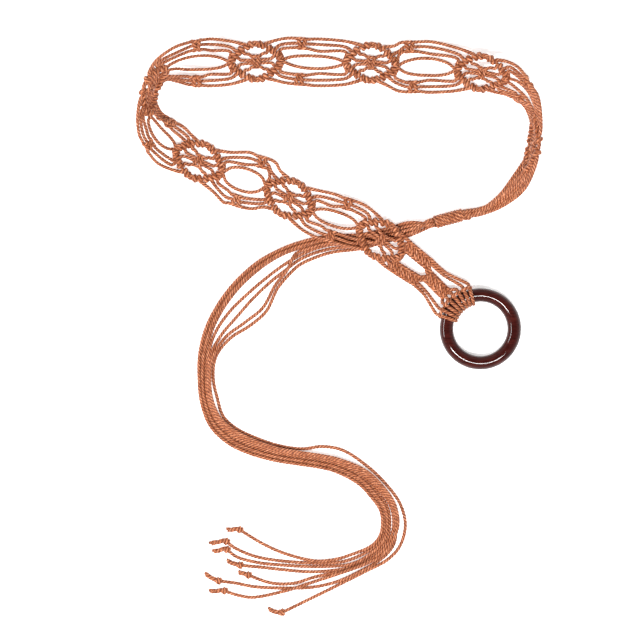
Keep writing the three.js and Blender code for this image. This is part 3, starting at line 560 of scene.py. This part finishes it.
def ring_material():
    material, nodes, links, surface = shader("dark_lacquered_wood")
    place_in = nodes.new("ShaderNodeTexCoord").outputs["Object"]
    grain = noise(nodes, links, place_in, (90, 700, 400), 6, 0.65)
    broad = noise(nodes, links, place_in, (25, 90, 60), 3)
    hue = shaded(nodes, links, grain, [(0.3, (0.018, 0.0018, 0.0013)), (0.5, (0.042, 0.0056, 0.0040)),
                                       (0.72, (0.074, 0.013, 0.0095))])
    tone = shaded(nodes, links, broad, [(0.3, (0.7, 0.66, 0.64)), (0.7, (1.2, 1.2, 1.2))])
    links.new(multiplied(nodes, links, hue, tone), surface.inputs["Base Color"])
    surface.inputs["Roughness"].default_value = 0.4
    surface.inputs["Specular IOR Level"].default_value = 0
    surface.inputs["Coat Weight"].default_value = 0.7
    surface.inputs["Coat Roughness"].default_value = 0.07
    bumped(nodes, links, grain, surface, 0.12, 0.0002)
    return material


def floor_material():
    material, nodes, links, surface = shader("white_surface")
    place_in = nodes.new("ShaderNodeTexCoord").outputs["Object"]
    uneven = noise(nodes, links, place_in, (40, 40, 40), 3)
    tone = shaded(nodes, links, uneven, [(0.3, (0.9, 0.9, 0.9)), (0.7, (0.93, 0.93, 0.93))])
    links.new(tone, surface.inputs["Base Color"])
    surface.inputs["Roughness"].default_value = 0.9
    surface.inputs["Emission Color"].default_value = (1, 1, 1, 1)
    surface.inputs["Emission Strength"].default_value = 0.5
    return material


CORD = cord_material()
WOOD = ring_material()


def finish_piece(made, slot, *nodes):
    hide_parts(*nodes)
    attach(made, "root")
    return made


# Tassel: eight free cords from the collar, each with an end knot

BUNDLE_R = 0.5 * WRAP_D - 1.02 * CORD_D
INSIDE_WRAP = 0.001
COLLAR_FALL = 0.02
HUMP_SLOPE = 0.35
REST_STEP = 0.004


def bundled(k):
    """The place of a strand in the round bundle: one in the middle and seven round it."""
    if k == 0:
        return 0.0, 0.0
    angle = 2 * math.pi * (k - 0.5) / (STRANDS - 1)
    return BUNDLE_R * math.cos(angle), BUNDLE_R * math.sin(angle)


tassel_route = Route([row[:2] for row in TASSEL_ROUTE])


def tassel_way(k):
    """The way of a tassel cord in the plane of the surface, from inside the collar to its end knot."""
    face = COLLAR_U + WRAP_L
    v, w = bundled(k)
    points = [place(face - INSIDE_WRAP, v, w), place(face + CORD_D, v, w)]
    for u, (x, y, lanes) in zip(tassel_route.along, TASSEL_ROUTE):
        left = tassel_route.left(u) * lanes[k] * PITCH
        points.append([x + left[0], y + left[1], 0])
    way, knot, _ = TASSEL_ENDS[k]
    return points + [[x, y, 0] for x, y in [*way, knot]]


def resting(flat, laid):
    """The height of a cord that rests on the surface and on the cords laid before it."""
    z = np.full(len(flat), CORD_R)
    for other in laid:
        a, b = other[:-1], other[1:]
        d = (b - a)[:, :2]
        share = ((flat[:, None, :2] - a[None, :, :2]) * d).sum(-1) / (d * d).sum(-1)
        share = np.clip(share, 0, 1)
        near = a[None, :, :2] + share[..., None] * d
        apart = np.hypot(*np.moveaxis(flat[:, None, :2] - near, -1, 0))
        top = a[None, :, 2] + share * (b - a)[None, :, 2]
        over = top + np.sqrt(np.maximum(TOUCH ** 2 - apart ** 2, 0))
        z = np.maximum(z, np.where(apart < TOUCH, over, 0).max(1))
    along = distances(flat[:, :2])
    return (z[None, :] - HUMP_SLOPE * np.abs(along[:, None] - along[None, :])).max(1)


def tassel_paths():
    """The eight cords' paths, which fall from the collar to the surface and lie on each other."""
    laid, paths = [], [None] * STRANDS
    for k in LAID:
        way = tassel_way(k)
        points, _ = smooth_curve(way, REST_STEP)
        along = distances(points[:, :2])
        rest = resting(points, laid)
        fall = np.clip(along / COLLAR_FALL, 0, 1)
        eased = fall * fall * (3 - 2 * fall)
        points[:, 2] = rest + (way[0][2] - rest) * (1 - eased)
        laid.append(points)
        paths[k] = points
    return paths


# An end knot: its turns, their radius and points, the share of the radius at both ends and how fast it
# grows, half its length and how far the cord in it goes on, in knot diameters, and its thickness and least
# height
KNOT_TURNS = 1.75
KNOT_R = END_KNOT_D / 2 - 0.7 * CORD_R
KNOT_POINTS = 16
KNOT_START = 0.3
KNOT_GROWTH = 6
KNOT_HALF = 0.28
KNOT_CORE = 0.3
END_KNOT_FAT = 1.1
KNOT_HEIGHT = 1.18 * CORD_R

# A tail: its plies' radius, the length of one full twist, their distance from the middle and how it grows,
# how much shorter each next one is, and the depth of its grooves
TAIL_PLY_R = 0.86 * CORD_R
TAIL_LAY = 2.6 * LAY
TAIL_R = 0.6 * CORD_R
TAIL_SPREAD = 0.25
TAIL_UNEVEN = 0.08
TAIL_GROOVE = 0.12
TAIL_POINTS = 20


def end_knot_points(last, ahead):
    """The loop of an end knot: out of the cord's middle, back round it and in again."""
    across = np.array([-ahead[1], ahead[0], 0])
    up = np.array([0, 0, 1])
    points = []
    for share in np.linspace(0, 1, KNOT_POINTS):
        turn = 2 * math.pi * KNOT_TURNS * share
        wide = KNOT_R * min(1, KNOT_START + KNOT_GROWTH * min(share, 1 - share))
        along = END_KNOT_D * KNOT_HALF * (1 - 2 * share)
        points.append(last + ahead * along + across * wide * math.cos(turn) + up * wide * math.sin(turn))
    points = np.array(points)
    points[:, 2] = np.maximum(points[:, 2], KNOT_HEIGHT)
    return points


def tail_plies(rings, start, tip, number):
    """The three plies of a tail, which open as they go."""
    ahead = unit(tip - start)
    across = unit(np.cross([0, 0, 1], ahead))
    up = np.cross(ahead, across)
    length = np.linalg.norm(tip - start)
    for ply in range(PLIES):
        share = np.linspace(0, 1, TAIL_POINTS)
        turn = 2 * math.pi * (ply / PLIES - share * length / TAIL_LAY)
        wide = TAIL_R * (1 + TAIL_SPREAD * share)
        points = (start + np.outer(share * (1 - TAIL_UNEVEN * ply), ahead * length)
                  + across * (wide * np.cos(turn))[:, None] + up * (wide * np.sin(turn))[:, None])
        points[:, 2] = np.maximum(points[:, 2], TAIL_PLY_R)
        Cord(points, number + PLY_NUMBER * ply, radius=TAIL_PLY_R, depth=TAIL_GROOVE).into(rings)


def end_piece(k, last, ahead):
    """The end knot of a tassel cord, with the cord through it and its tail."""
    tip = np.array([*TASSEL_ENDS[k][2], last[2]])
    way = unit((tip - last) * (1, 1, 0))
    core = last + ahead * KNOT_CORE * END_KNOT_D
    knot = end_knot_points(last, ahead)
    rings = Rings()
    Cord(knot, k, [END_KNOT_FAT] * len(knot)).into(rings)
    Cord([last - ahead * CORD_R, last, core], k).into(rings)
    tail_plies(rings, core - way * CORD_R, tip, k)
    return finish_piece(rings.object(f"tassel_end_{k + 1}", CORD), "cord", "tassel")


for k, points in enumerate(tassel_paths()):
    strand = Cord(points, k)
    rings = Rings()
    strand.into(rings)
    made = finish_piece(rings.object(f"tassel_cord_{k + 1}", CORD), "cord", "tassel")
    end = end_piece(k, points[-1], unit((points[-1] - points[-2]) * (1, 1, 0)))


# Square knots: local points along, across and up, for the cord that crosses in front and the one behind

FRONT_HALF = [(-0.36, 1, -0.3), (-0.15, 0.82, 0.55), (0, 0, 1), (0.15, -0.82, 0.55), (0.36, -1, -0.3)]
BACK_HALF = [(-0.42, 0.98, 0.75), (0.08, 1.04, 0.6), (0.2, 0.6, -0.7), (0, 0, -1), (-0.2, -0.6, -0.7),
             (-0.08, -1.04, 0.6), (0.42, -0.98, 0.75)]


def worker(front, halves, pitch, wide, thick):
    """The front cord makes a bar across each half knot, and the other one goes behind and over its ends."""
    points = []
    for i in range(halves):
        edge = (-1) ** i * (1 if front else -1)
        middle = (i - (halves - 1) / 2) * pitch
        for along, across, up in FRONT_HALF if front else BACK_HALF:
            points.append((middle + along * pitch, edge * across * wide, up * thick))
    return points


# The frame of a diamond: a quarter runs from its tip to its widest place

FRAME_ROUNDNESS = 1.5
QUARTER_STEPS = 300
quarter_t = np.linspace(0, 1, QUARTER_STEPS)
quarter_u = HALF_L * np.cos(quarter_t * math.pi / 2) ** (2 / FRAME_ROUNDNESS)
quarter_v = HALF_W * np.sin(quarter_t * math.pi / 2) ** (2 / FRAME_ROUNDNESS)
quarter_along = distances(np.column_stack([quarter_u, quarter_v]))

# Where the three outer cords cross the frame, and the two turns that each makes round it: the length
# that they take on the frame, where each turn is in that length, their radius and their thickness
LEAVES = [0.76, 0.5, 0.25]
HITCH_SPAN = 0.0049
HITCH_TURNS = [(0, -0.5), (1, -0.36), (2, 0.36), (3, 0.5)]
HITCH_R = BAR_D / 2 - 0.75 * CORD_R
HITCH_FAT = 1.28
KNOT_FAT = 1.16


def quarter(along):
    u = np.interp(along, quarter_along, quarter_u)
    v = np.interp(along, quarter_along, quarter_v)
    return u, v


def leave_along(lane):
    return np.interp(LEAVES[lane], quarter_t, quarter_along)


def wraps(center, end, side, lane):
    """The two turns of a cord round the frame, from the outside in before the centre and out after it."""
    points = []
    middle = leave_along(lane)
    for turn in np.arange(0, HITCH_TURNS[-1][0] + 0.01, 0.25):
        along = middle - end * HITCH_SPAN * np.interp(turn, *zip(*HITCH_TURNS))
        u, v = quarter(along)
        ahead_u, ahead_v = np.subtract(quarter(along + FRAME_PROBE), quarter(along - FRAME_PROBE))
        inward = np.array([-ahead_v, ahead_u]) / math.hypot(ahead_u, ahead_v)
        if inward @ (-u, -v) < 0:
            inward = -inward
        across = math.cos(turn * math.pi) * HITCH_R * end
        up = math.sin(turn * math.pi) * HITCH_R
        points.append(place(center + end * (u + across * inward[0]), side * (v + across * inward[1]), up))
    return points


# Links between the diamonds

# How far the cords sag between the knots, in cord diameters
SAG = 0.35

# The outer three cords at the tips: their distance from the middle in half widths of the diamond, and how
# much wider the outermost is at the next diamond
FAN = (1.12, 0.86, 0.58)
OUTER_BULGE = 1.06

# Their first bend after a diamond, as shares of half the diamond and of the link
BESIDE_FRAME = 0.2
LEAD_IN = 0.1

# The outermost's arc to the side knot, as shares of the way and of the rise
ARC_AT = 0.55
ARC_RISE = 0.8

# A side knot: how far from its middle its two outer cords enter and leave it, and where they and the cord
# through it do so, in half lengths of the knot
ASIDE = 1.35 * PITCH
KNOT_ENDS = 1.5
KNOT_CORE_ENDS = 1.15

# The swell after it: the share of the way to the next diamond, how far the second and third cord stay
# inside, in cord diameters, and the spread of a link above which its edge is wider too
SWELL_AT = 0.32
SWELL_DROPS = (0.9, 2.1)
PLAIN_SPREAD = 0.74

# The cords round the eye: shares of the way from a tip to the middle, and of the eye's half width
EYE_FORM = [(0.3, 0.62), (0.65, 0.93), (1, 1)]


class Link:
    """The ways of the cords between two diamonds on one side."""

    def __init__(self, number, side):
        outer, inner, spread, eye = LINKS[number]
        self.side = side
        self.start = CENTERS[number] + HALF_L
        self.finish = CENTERS[number + 1] - HALF_L
        gap = self.finish - self.start
        self.knot = self.start + gap * (outer if side > 0 else inner)
        self.spread = spread * HALF_BAND
        self.eye = eye * HALF_BAND
        self.real = stretch(self.knot, side * self.spread)
        self.fan = [share * HALF_W for share in FAN]
        out = (HALF_BAND - CORD_R) * max(1, spread / PLAIN_SPREAD)
        self.swell = [out, 0.5 * (out + self.spread) - SWELL_DROPS[0] * CORD_D,
                      self.spread - SWELL_DROPS[1] * CORD_D]

    def flat(self, u, v, tag):
        """A point that sags a little from the band's middle surface."""
        return place(u, self.side * v, -SAG * CORD_D), tag, 1.0

    def points(self, lane):
        """The cord's points, with the tag of each: before the knot, in it or after it."""
        half = SIDE_KNOT_L / 2
        lead = (self.knot - half / self.real - self.start) / 2
        aside = (1 - lane) * ASIDE
        first = self.start - BESIDE_FRAME * HALF_L
        if lane > 0:
            first = max(first, self.start + LEAD_IN * (self.finish - self.start) - lead)
        out = [self.flat(first, self.fan[lane], "before")]
        if lane == 0:
            u = first + ARC_AT * (self.knot - KNOT_ENDS * half / self.real - first)
            out.append(self.flat(u, self.fan[0] + ARC_RISE * (self.spread + aside - self.fan[0]), "before"))
        if lane == 1:
            local = [(-half * KNOT_CORE_ENDS, 0, 0), (0, 0, 0), (half * KNOT_CORE_ENDS, 0, 0)]
        else:
            local = worker(lane == 0, 2, half, KNOT_W / 2 - CORD_R, KNOT_T / 2 - CORD_R)
            local = [(-KNOT_ENDS * half, aside, 0), *local, (KNOT_ENDS * half, aside, 0)]
        world = [place(self.knot + a / self.real, self.side * (self.spread + b), c) for a, b, c in local]
        out.append((world[0], "before", 1.0))
        out += [(where, "knot", KNOT_FAT) for where in world[1:-1]]
        out.append((world[-1], "after", 1.0))
        after = self.knot + half / self.real
        out.append(self.flat(after + SWELL_AT * (self.finish - after), self.swell[lane], "after"))
        out.append(self.flat(self.finish, self.fan[lane] * (OUTER_BULGE if lane == 0 else 1), "after"))
        return out

    def eye_points(self):
        half = (self.finish - self.start) / 2
        out = [self.flat(self.start + a * half, b * self.eye, "before") for a, b in EYE_FORM]
        return out + [self.flat(self.finish - a * half, b * self.eye, "after") for a, b in EYE_FORM[-2::-1]]


# Inside a diamond

# The middle pair crosses at each tip: distances into the diamond and from the band's middle, and the height
TIP_CROSSING = [(-0.0015, 0.0006), (0.001, -0.0009)]
CROSSING_HEIGHT = 0.42 * CORD_D

# It runs inside the frame, bowed out at the widest place, with points at these shares of each quarter
FRAME_STOPS = np.linspace(0.2, 1, 5)
FRAME_BOW = 0.45 * CORD_D

# The outermost cord at the widest place: shares of half the length, and the distance from the middle
EDGE_STOPS = (-0.16, 0, 0.16)
EDGE_V = HALF_W - 0.5 * CORD_D

# The second cord's way to the middle knot that it ties round the third, and the third's to its own middle:
# distances from the centre along the band and across it
KNOT_WAY = [(0.01, 0.0073), (0.0064, 0.0066)]
KNOT_CORD_FAT = 1.05
THROUGH_WAY = [(0.0135, 0.0021), (0.009, 0.0015), (0.004, 0.0014)]
THROUGH_V = 0.00135


def frame_core(center, side):
    """One of the two cords inside the frame, from tip to tip."""
    points = []
    for along, across in TIP_CROSSING:
        points.append(place(center - HALF_L + along, side * across, side * CROSSING_HEIGHT))
    for end, stops in ((-1, FRAME_STOPS), (1, FRAME_STOPS[-2::-1])):
        for share in stops:
            u, v = quarter(share * quarter_along[-1])
            points.append(place(center + end * u, -side * (v + FRAME_BOW * share ** 4), 0))
    for along, across in TIP_CROSSING[::-1]:
        points.append(place(center + HALF_L - along, side * across, -side * CROSSING_HEIGHT))
    return [(p, 1.0) for p in points]


def diamond_points(center, side, lane):
    """One cord through a diamond, from the outside of its frame to the outside again, with its size."""
    if lane == 3:
        return frame_core(center, side)
    size = 1.0
    if lane == 0:
        local = [(share * HALF_L, side * EDGE_V, 0) for share in EDGE_STOPS]
    elif lane == 1:
        size = KNOT_CORD_FAT
        local = [(-a, side * v, 0) for a, v in KNOT_WAY]
        local += worker(side > 0, 2, CENTER_KNOT_L / 2, KNOT_W / 2 - 0.5 * CORD_R, KNOT_T / 2 - CORD_R)
        local += [(a, side * v, 0) for a, v in KNOT_WAY[::-1]]
    else:
        local = [(-a, side * v, 0) for a, v in THROUGH_WAY] + [(0, side * THROUGH_V, 0)]
        local += [(a, side * v, 0) for a, v in THROUGH_WAY[::-1]]
    points = [(p, HITCH_FAT) for p in wraps(center, -1, side, lane)]
    points += [(place(center + a, b, c), size) for a, b, c in local]
    return points + [(p, HITCH_FAT) for p in wraps(center, 1, side, lane)]


# The ring end

# The side sennits end on the first diamond's frame, and the middle one lies between them and the ring
SIDE_SENNIT_END = CENTERS[0] - HALF_L + 0.66 * CORD_D
SIDE_SENNIT_START = SIDE_SENNIT_END - SENNIT_L
SIDE_SENNIT_V = (0.41 * HALF_BAND, 0.49 * HALF_BAND)
CENTER_SENNIT_START = 0.13 * SIDE_SENNIT_START
CENTER_SENNIT_END = 0.86 * SIDE_SENNIT_START

# A sennit's knots, how far its workers reach, and how far apart the cords inside it lie
SENNIT_KNOTS = 4
SENNIT_REACH = SENNIT_W / 2 - CORD_R
SIDE_SENNIT_REACH = 0.94 * SENNIT_REACH
SENNIT_LANE = 0.92 * CORD_D

# The strands of the middle sennit, and where the outer pairs run wide of it
MIDDLE_FOUR = range(HITCHES - 2, HITCHES + 2)
OUTER_PAIR_U = 0.55 * SIDE_SENNIT_START
OUTER_PAIR_V = (0.62 * HALF_BAND, 0.48 * HALF_BAND)

# A lark's head on the ring. Its fold: degrees from the fold's middle, distance out from the turns, height.
# The turn under the ring: degrees round the tube and from the fold's middle. The turn back over it: degrees
# round the tube. The tail under the fold: distance from the tube's middle, height.
RING_TURN_R = TUBE_R + 0.97 * CORD_R
FOLD = [(0, 0.0007, 0.005), (3.3, 0.0006, 0.0047), (5.5, 0.0003, 0.0029)]
TURN_UNDER = [(-5, 5.8), (-50, 5.6), (-95, 5.2), (-140, 4.5)]
TURN_OVER = (180, 140, 100, 65)
TAIL_WAY = [(0.0064, 0.0041), (0.0087, 0.0019), (0.0106, -0.0002)]
RING_HITCH_FAT = 1.06


def strand_angle(k):
    return HITCH_CENTER + (k - (STRANDS - 1) / 2) * HITCH_ANGLE


def round_tube(degrees, around):
    a = math.radians(around)
    return degrees, RING_TURN_R * math.cos(a), RING_TURN_R * math.sin(a)


def hitch_points(k):
    """From the middle of the fold, round the ring and out over it and under the fold."""
    middle = strand_angle(2 * (k // 2) + 0.5)
    own = strand_angle(k)
    aside = 1 if k % 2 else -1
    rows = [(middle + aside * degrees, RING_TURN_R + out, up) for degrees, out, up in FOLD]
    rows += [round_tube(middle + aside * degrees, around) for around, degrees in TURN_UNDER]
    rows += [round_tube(own, around) for around in TURN_OVER]
    rows += [(own, out, up) for out, up in TAIL_WAY]
    return [by_ring(*row) for row in rows]


def sennit_points(start, end, v_from, v_to, lane, wide):
    """A cord through a sennit of four: lanes 0 and 3 are the workers."""
    halves = 2 * SENNIT_KNOTS
    pitch = (end - start) / halves
    middle = (start + end) / 2
    if lane in (0, 3):
        local = worker(lane == 3, halves, pitch, wide, KNOT_T / 2 - CORD_R)
    else:
        v = (lane - 1.5) * SENNIT_LANE
        local = [(a, v, 0) for a in np.linspace(-0.5, 0.5, 5) * (end - start)]
    points = []
    for a, b, c in local:
        u = middle + a
        share = (u - start) / (end - start)
        points.append(place(u, v_from + share * (v_to - v_from) + b, c))
    return points


def ring_end_points(k):
    """A strand from the fold on the ring to the end of its side sennit, with tags."""
    out = [(p, f"ring_hitch_{k // 2 + 1}", RING_HITCH_FAT) for p in hitch_points(k)]
    side = -1 if k < HITCHES else 1
    name = "sennit_right" if side < 0 else "sennit_left"
    lane = k if side < 0 else k - HITCHES
    if k in MIDDLE_FOUR:
        middle_lane = MIDDLE_FOUR.index(k)
        points = sennit_points(CENTER_SENNIT_START, CENTER_SENNIT_END, 0, 0, middle_lane, SENNIT_REACH)
        out += [(p, "sennit_center", KNOT_FAT) for p in points]
    else:
        v = OUTER_PAIR_V[k if side < 0 else STRANDS - 1 - k]
        out.append((place(OUTER_PAIR_U, side * v, 0), name, 1.0))
    v_from, v_to = (side * v for v in SIDE_SENNIT_V)
    points = sennit_points(SIDE_SENNIT_START, SIDE_SENNIT_END, v_from, v_to, lane, SIDE_SENNIT_REACH)
    return out + [(p, name, KNOT_FAT) for p in points]


# From the last diamond to the collar: at each share of the way, what is left of a cord's distance from
# the middle, which starts at GATHER_FAN of the diamond's half width
GATHER = [(0.18, 1.0), (0.5, 0.62), (0.78, 0.4)]
GATHER_FAN = (0.84, 0.6, 0.36, 0.14)


def gather_points(k, side, lane):
    """From the last diamond into the collar."""
    start = CENTERS[-1] + HALF_L
    gap = COLLAR_U - start
    wide = GATHER_FAN[lane] * HALF_W
    v, w = bundled(k)
    out = []
    for share, left in GATHER:
        across = side * wide * left * (1 - share) + v * share
        out.append(place(start + share * gap, across, w * share))
    out += [place(COLLAR_U - GAP, v, w), place(COLLAR_U + WRAP_L / 3, v, w)]
    return [(p, f"diamond_{len(CENTERS)}", 1.0) for p in out]


def strand_points(k):
    """One strand from the fold on the ring to the inside of the collar."""
    side = -1 if k < HITCHES else 1
    lane = k if side < 0 else STRANDS - 1 - k
    out = ring_end_points(k)
    for n, center in enumerate(CENTERS):
        out += [(p, f"diamond_{n + 1}", fat) for p, fat in diamond_points(center, side, lane)]
        if n < len(LINKS):
            link = Link(n, side)
            names = {"before": f"diamond_{n + 1}", "after": f"diamond_{n + 2}",
                     "knot": f"side_knot_{n + 1}_{'outer' if side > 0 else 'inner'}"}
            rows = link.eye_points() if lane == 3 else link.points(lane)
            out += [(p, names[tag], fat) for p, tag, fat in rows]
    return out + gather_points(k, side, lane)


# The four folded cords, cut at the pieces' own bounds

pieces = {}
for n in range(HITCHES):
    first = strand_points(2 * n)
    second = strand_points(2 * n + 1)
    whole = first[:0:-1] + second
    places, tags, fats = zip(*whole)
    folded = Cord(places, FOLDED_NUMBER + n, fats, tags)
    for tag, start, stop in folded.stretches():
        folded.into(pieces.setdefault(tag, Rings()), start, stop)
for name, rings in pieces.items():
    finish_piece(rings.object(f"{name}_cords", CORD), "cord", name)


# Collar: a cord wound round the bundle, with its cut end standing out

# The wrap's radius, and the turns from one of its points to the next
WRAP_R = WRAP_D / 2 - CORD_R
WRAP_POINT = 0.125

# Its cut end before the collar: along, across and up. Its inner end: across and up in its own radius.
CUT_END = [(-0.0046, 0.0044, 0.0008), (-0.002, 0.004, 0.001)]
INNER_END = (0.5, -0.3)


def collar_points():
    pitch = (WRAP_L - CORD_D) / WRAP_TURNS
    points = [place(COLLAR_U + along, v, w) for along, v, w in CUT_END]
    for turn in np.arange(WRAP_POINT, WRAP_TURNS, WRAP_POINT):
        a = 2 * math.pi * turn
        points.append(place(COLLAR_U + CORD_R + pitch * turn, WRAP_R * math.cos(a), WRAP_R * math.sin(a)))
    v, w = INNER_END
    return points + [place(COLLAR_U + WRAP_L - 2 * CORD_D, v * WRAP_R, w * WRAP_R)]


rings = Rings()
Cord(collar_points(), COLLAR_NUMBER).into(rings)
finish_piece(rings.object("collar_wrap", CORD), "cord", "tassel")


# Ring

RING_STEPS = 192
RING_SIDES = 48


def ring_object():
    turn = np.arange(RING_STEPS) * 2 * math.pi / RING_STEPS
    around = np.arange(RING_SIDES) * 2 * math.pi / RING_SIDES
    out = RING_R + TUBE_R * np.cos(around)
    points = np.stack([np.outer(np.cos(turn), out), np.outer(np.sin(turn), out),
                       np.broadcast_to(TUBE_R * np.sin(around), (RING_STEPS, RING_SIDES))], axis=-1)
    points = tilted(points.reshape(-1, 3)) + SHIFT
    index = np.arange(RING_STEPS * RING_SIDES).reshape(RING_STEPS, RING_SIDES)
    a, b = index, np.roll(index, -1, 0)
    quads = np.stack([a, b, np.roll(b, -1, 1), np.roll(a, -1, 1)], axis=-1).reshape(-1, 4)
    mesh = bpy.data.meshes.new("wooden_ring")
    mesh.from_pydata(points.tolist(), [], quads.tolist())
    mesh.shade_smooth()
    mesh.materials.append(WOOD)
    made = bpy.data.objects.new("wooden_ring", mesh)
    bpy.context.collection.objects.link(made)
    return made


finish_piece(ring_object(), "ring", "ring")


# Floor and light

FLOOR_W = 6


def floor_object():
    half = FLOOR_W / 2
    mesh = bpy.data.meshes.new("floor")
    corners = [(-half, -half, 0), (half, -half, 0), (half, half, 0), (-half, half, 0)]
    mesh.from_pydata(corners, [], [(0, 1, 2, 3)])
    mesh.materials.append(floor_material())
    made = bpy.data.objects.new("floor", mesh)
    bpy.context.collection.objects.link(made)
    return made


def area_light(name, power, size, location):
    """A light that is turned to the origin, with its long side level."""
    light = bpy.data.lights.new(name, "AREA")
    light.energy = power
    light.shape = "RECTANGLE"
    light.size, light.size_y = size
    made = bpy.data.objects.new(name, light)
    made.location = location
    x, y, z = location
    made.rotation_euler = (math.atan2(math.hypot(x, y), z), 0, math.atan2(x, -y))
    bpy.context.collection.objects.link(made)


floor_object()
area_light("overhead", 100, (1.5, 0.2), (0.1, -0.85, 2.75))
area_light("side", 22, (1.2, 0.16), (-1.5, 0.1, 1.25))
world = bpy.data.worlds.new("studio")
world.use_nodes = True
sky = world.node_tree.nodes
height = sky.new("ShaderNodeSeparateXYZ")
world.node_tree.links.new(sky.new("ShaderNodeTexCoord").outputs["Generated"], height.inputs[0])
fade = shaded(sky, world.node_tree.links, height.outputs["Z"],
              [(0.0, (0.9, 0.9, 0.9)), (0.5, (0.5, 0.5, 0.5)), (0.9, (0.1, 0.1, 0.1))])
world.node_tree.links.new(fade, sky["Background"].inputs["Color"])
bpy.context.scene.world = world
bpy.context.scene.view_settings.view_transform = "Standard"

bpy.context.view_layer.update()
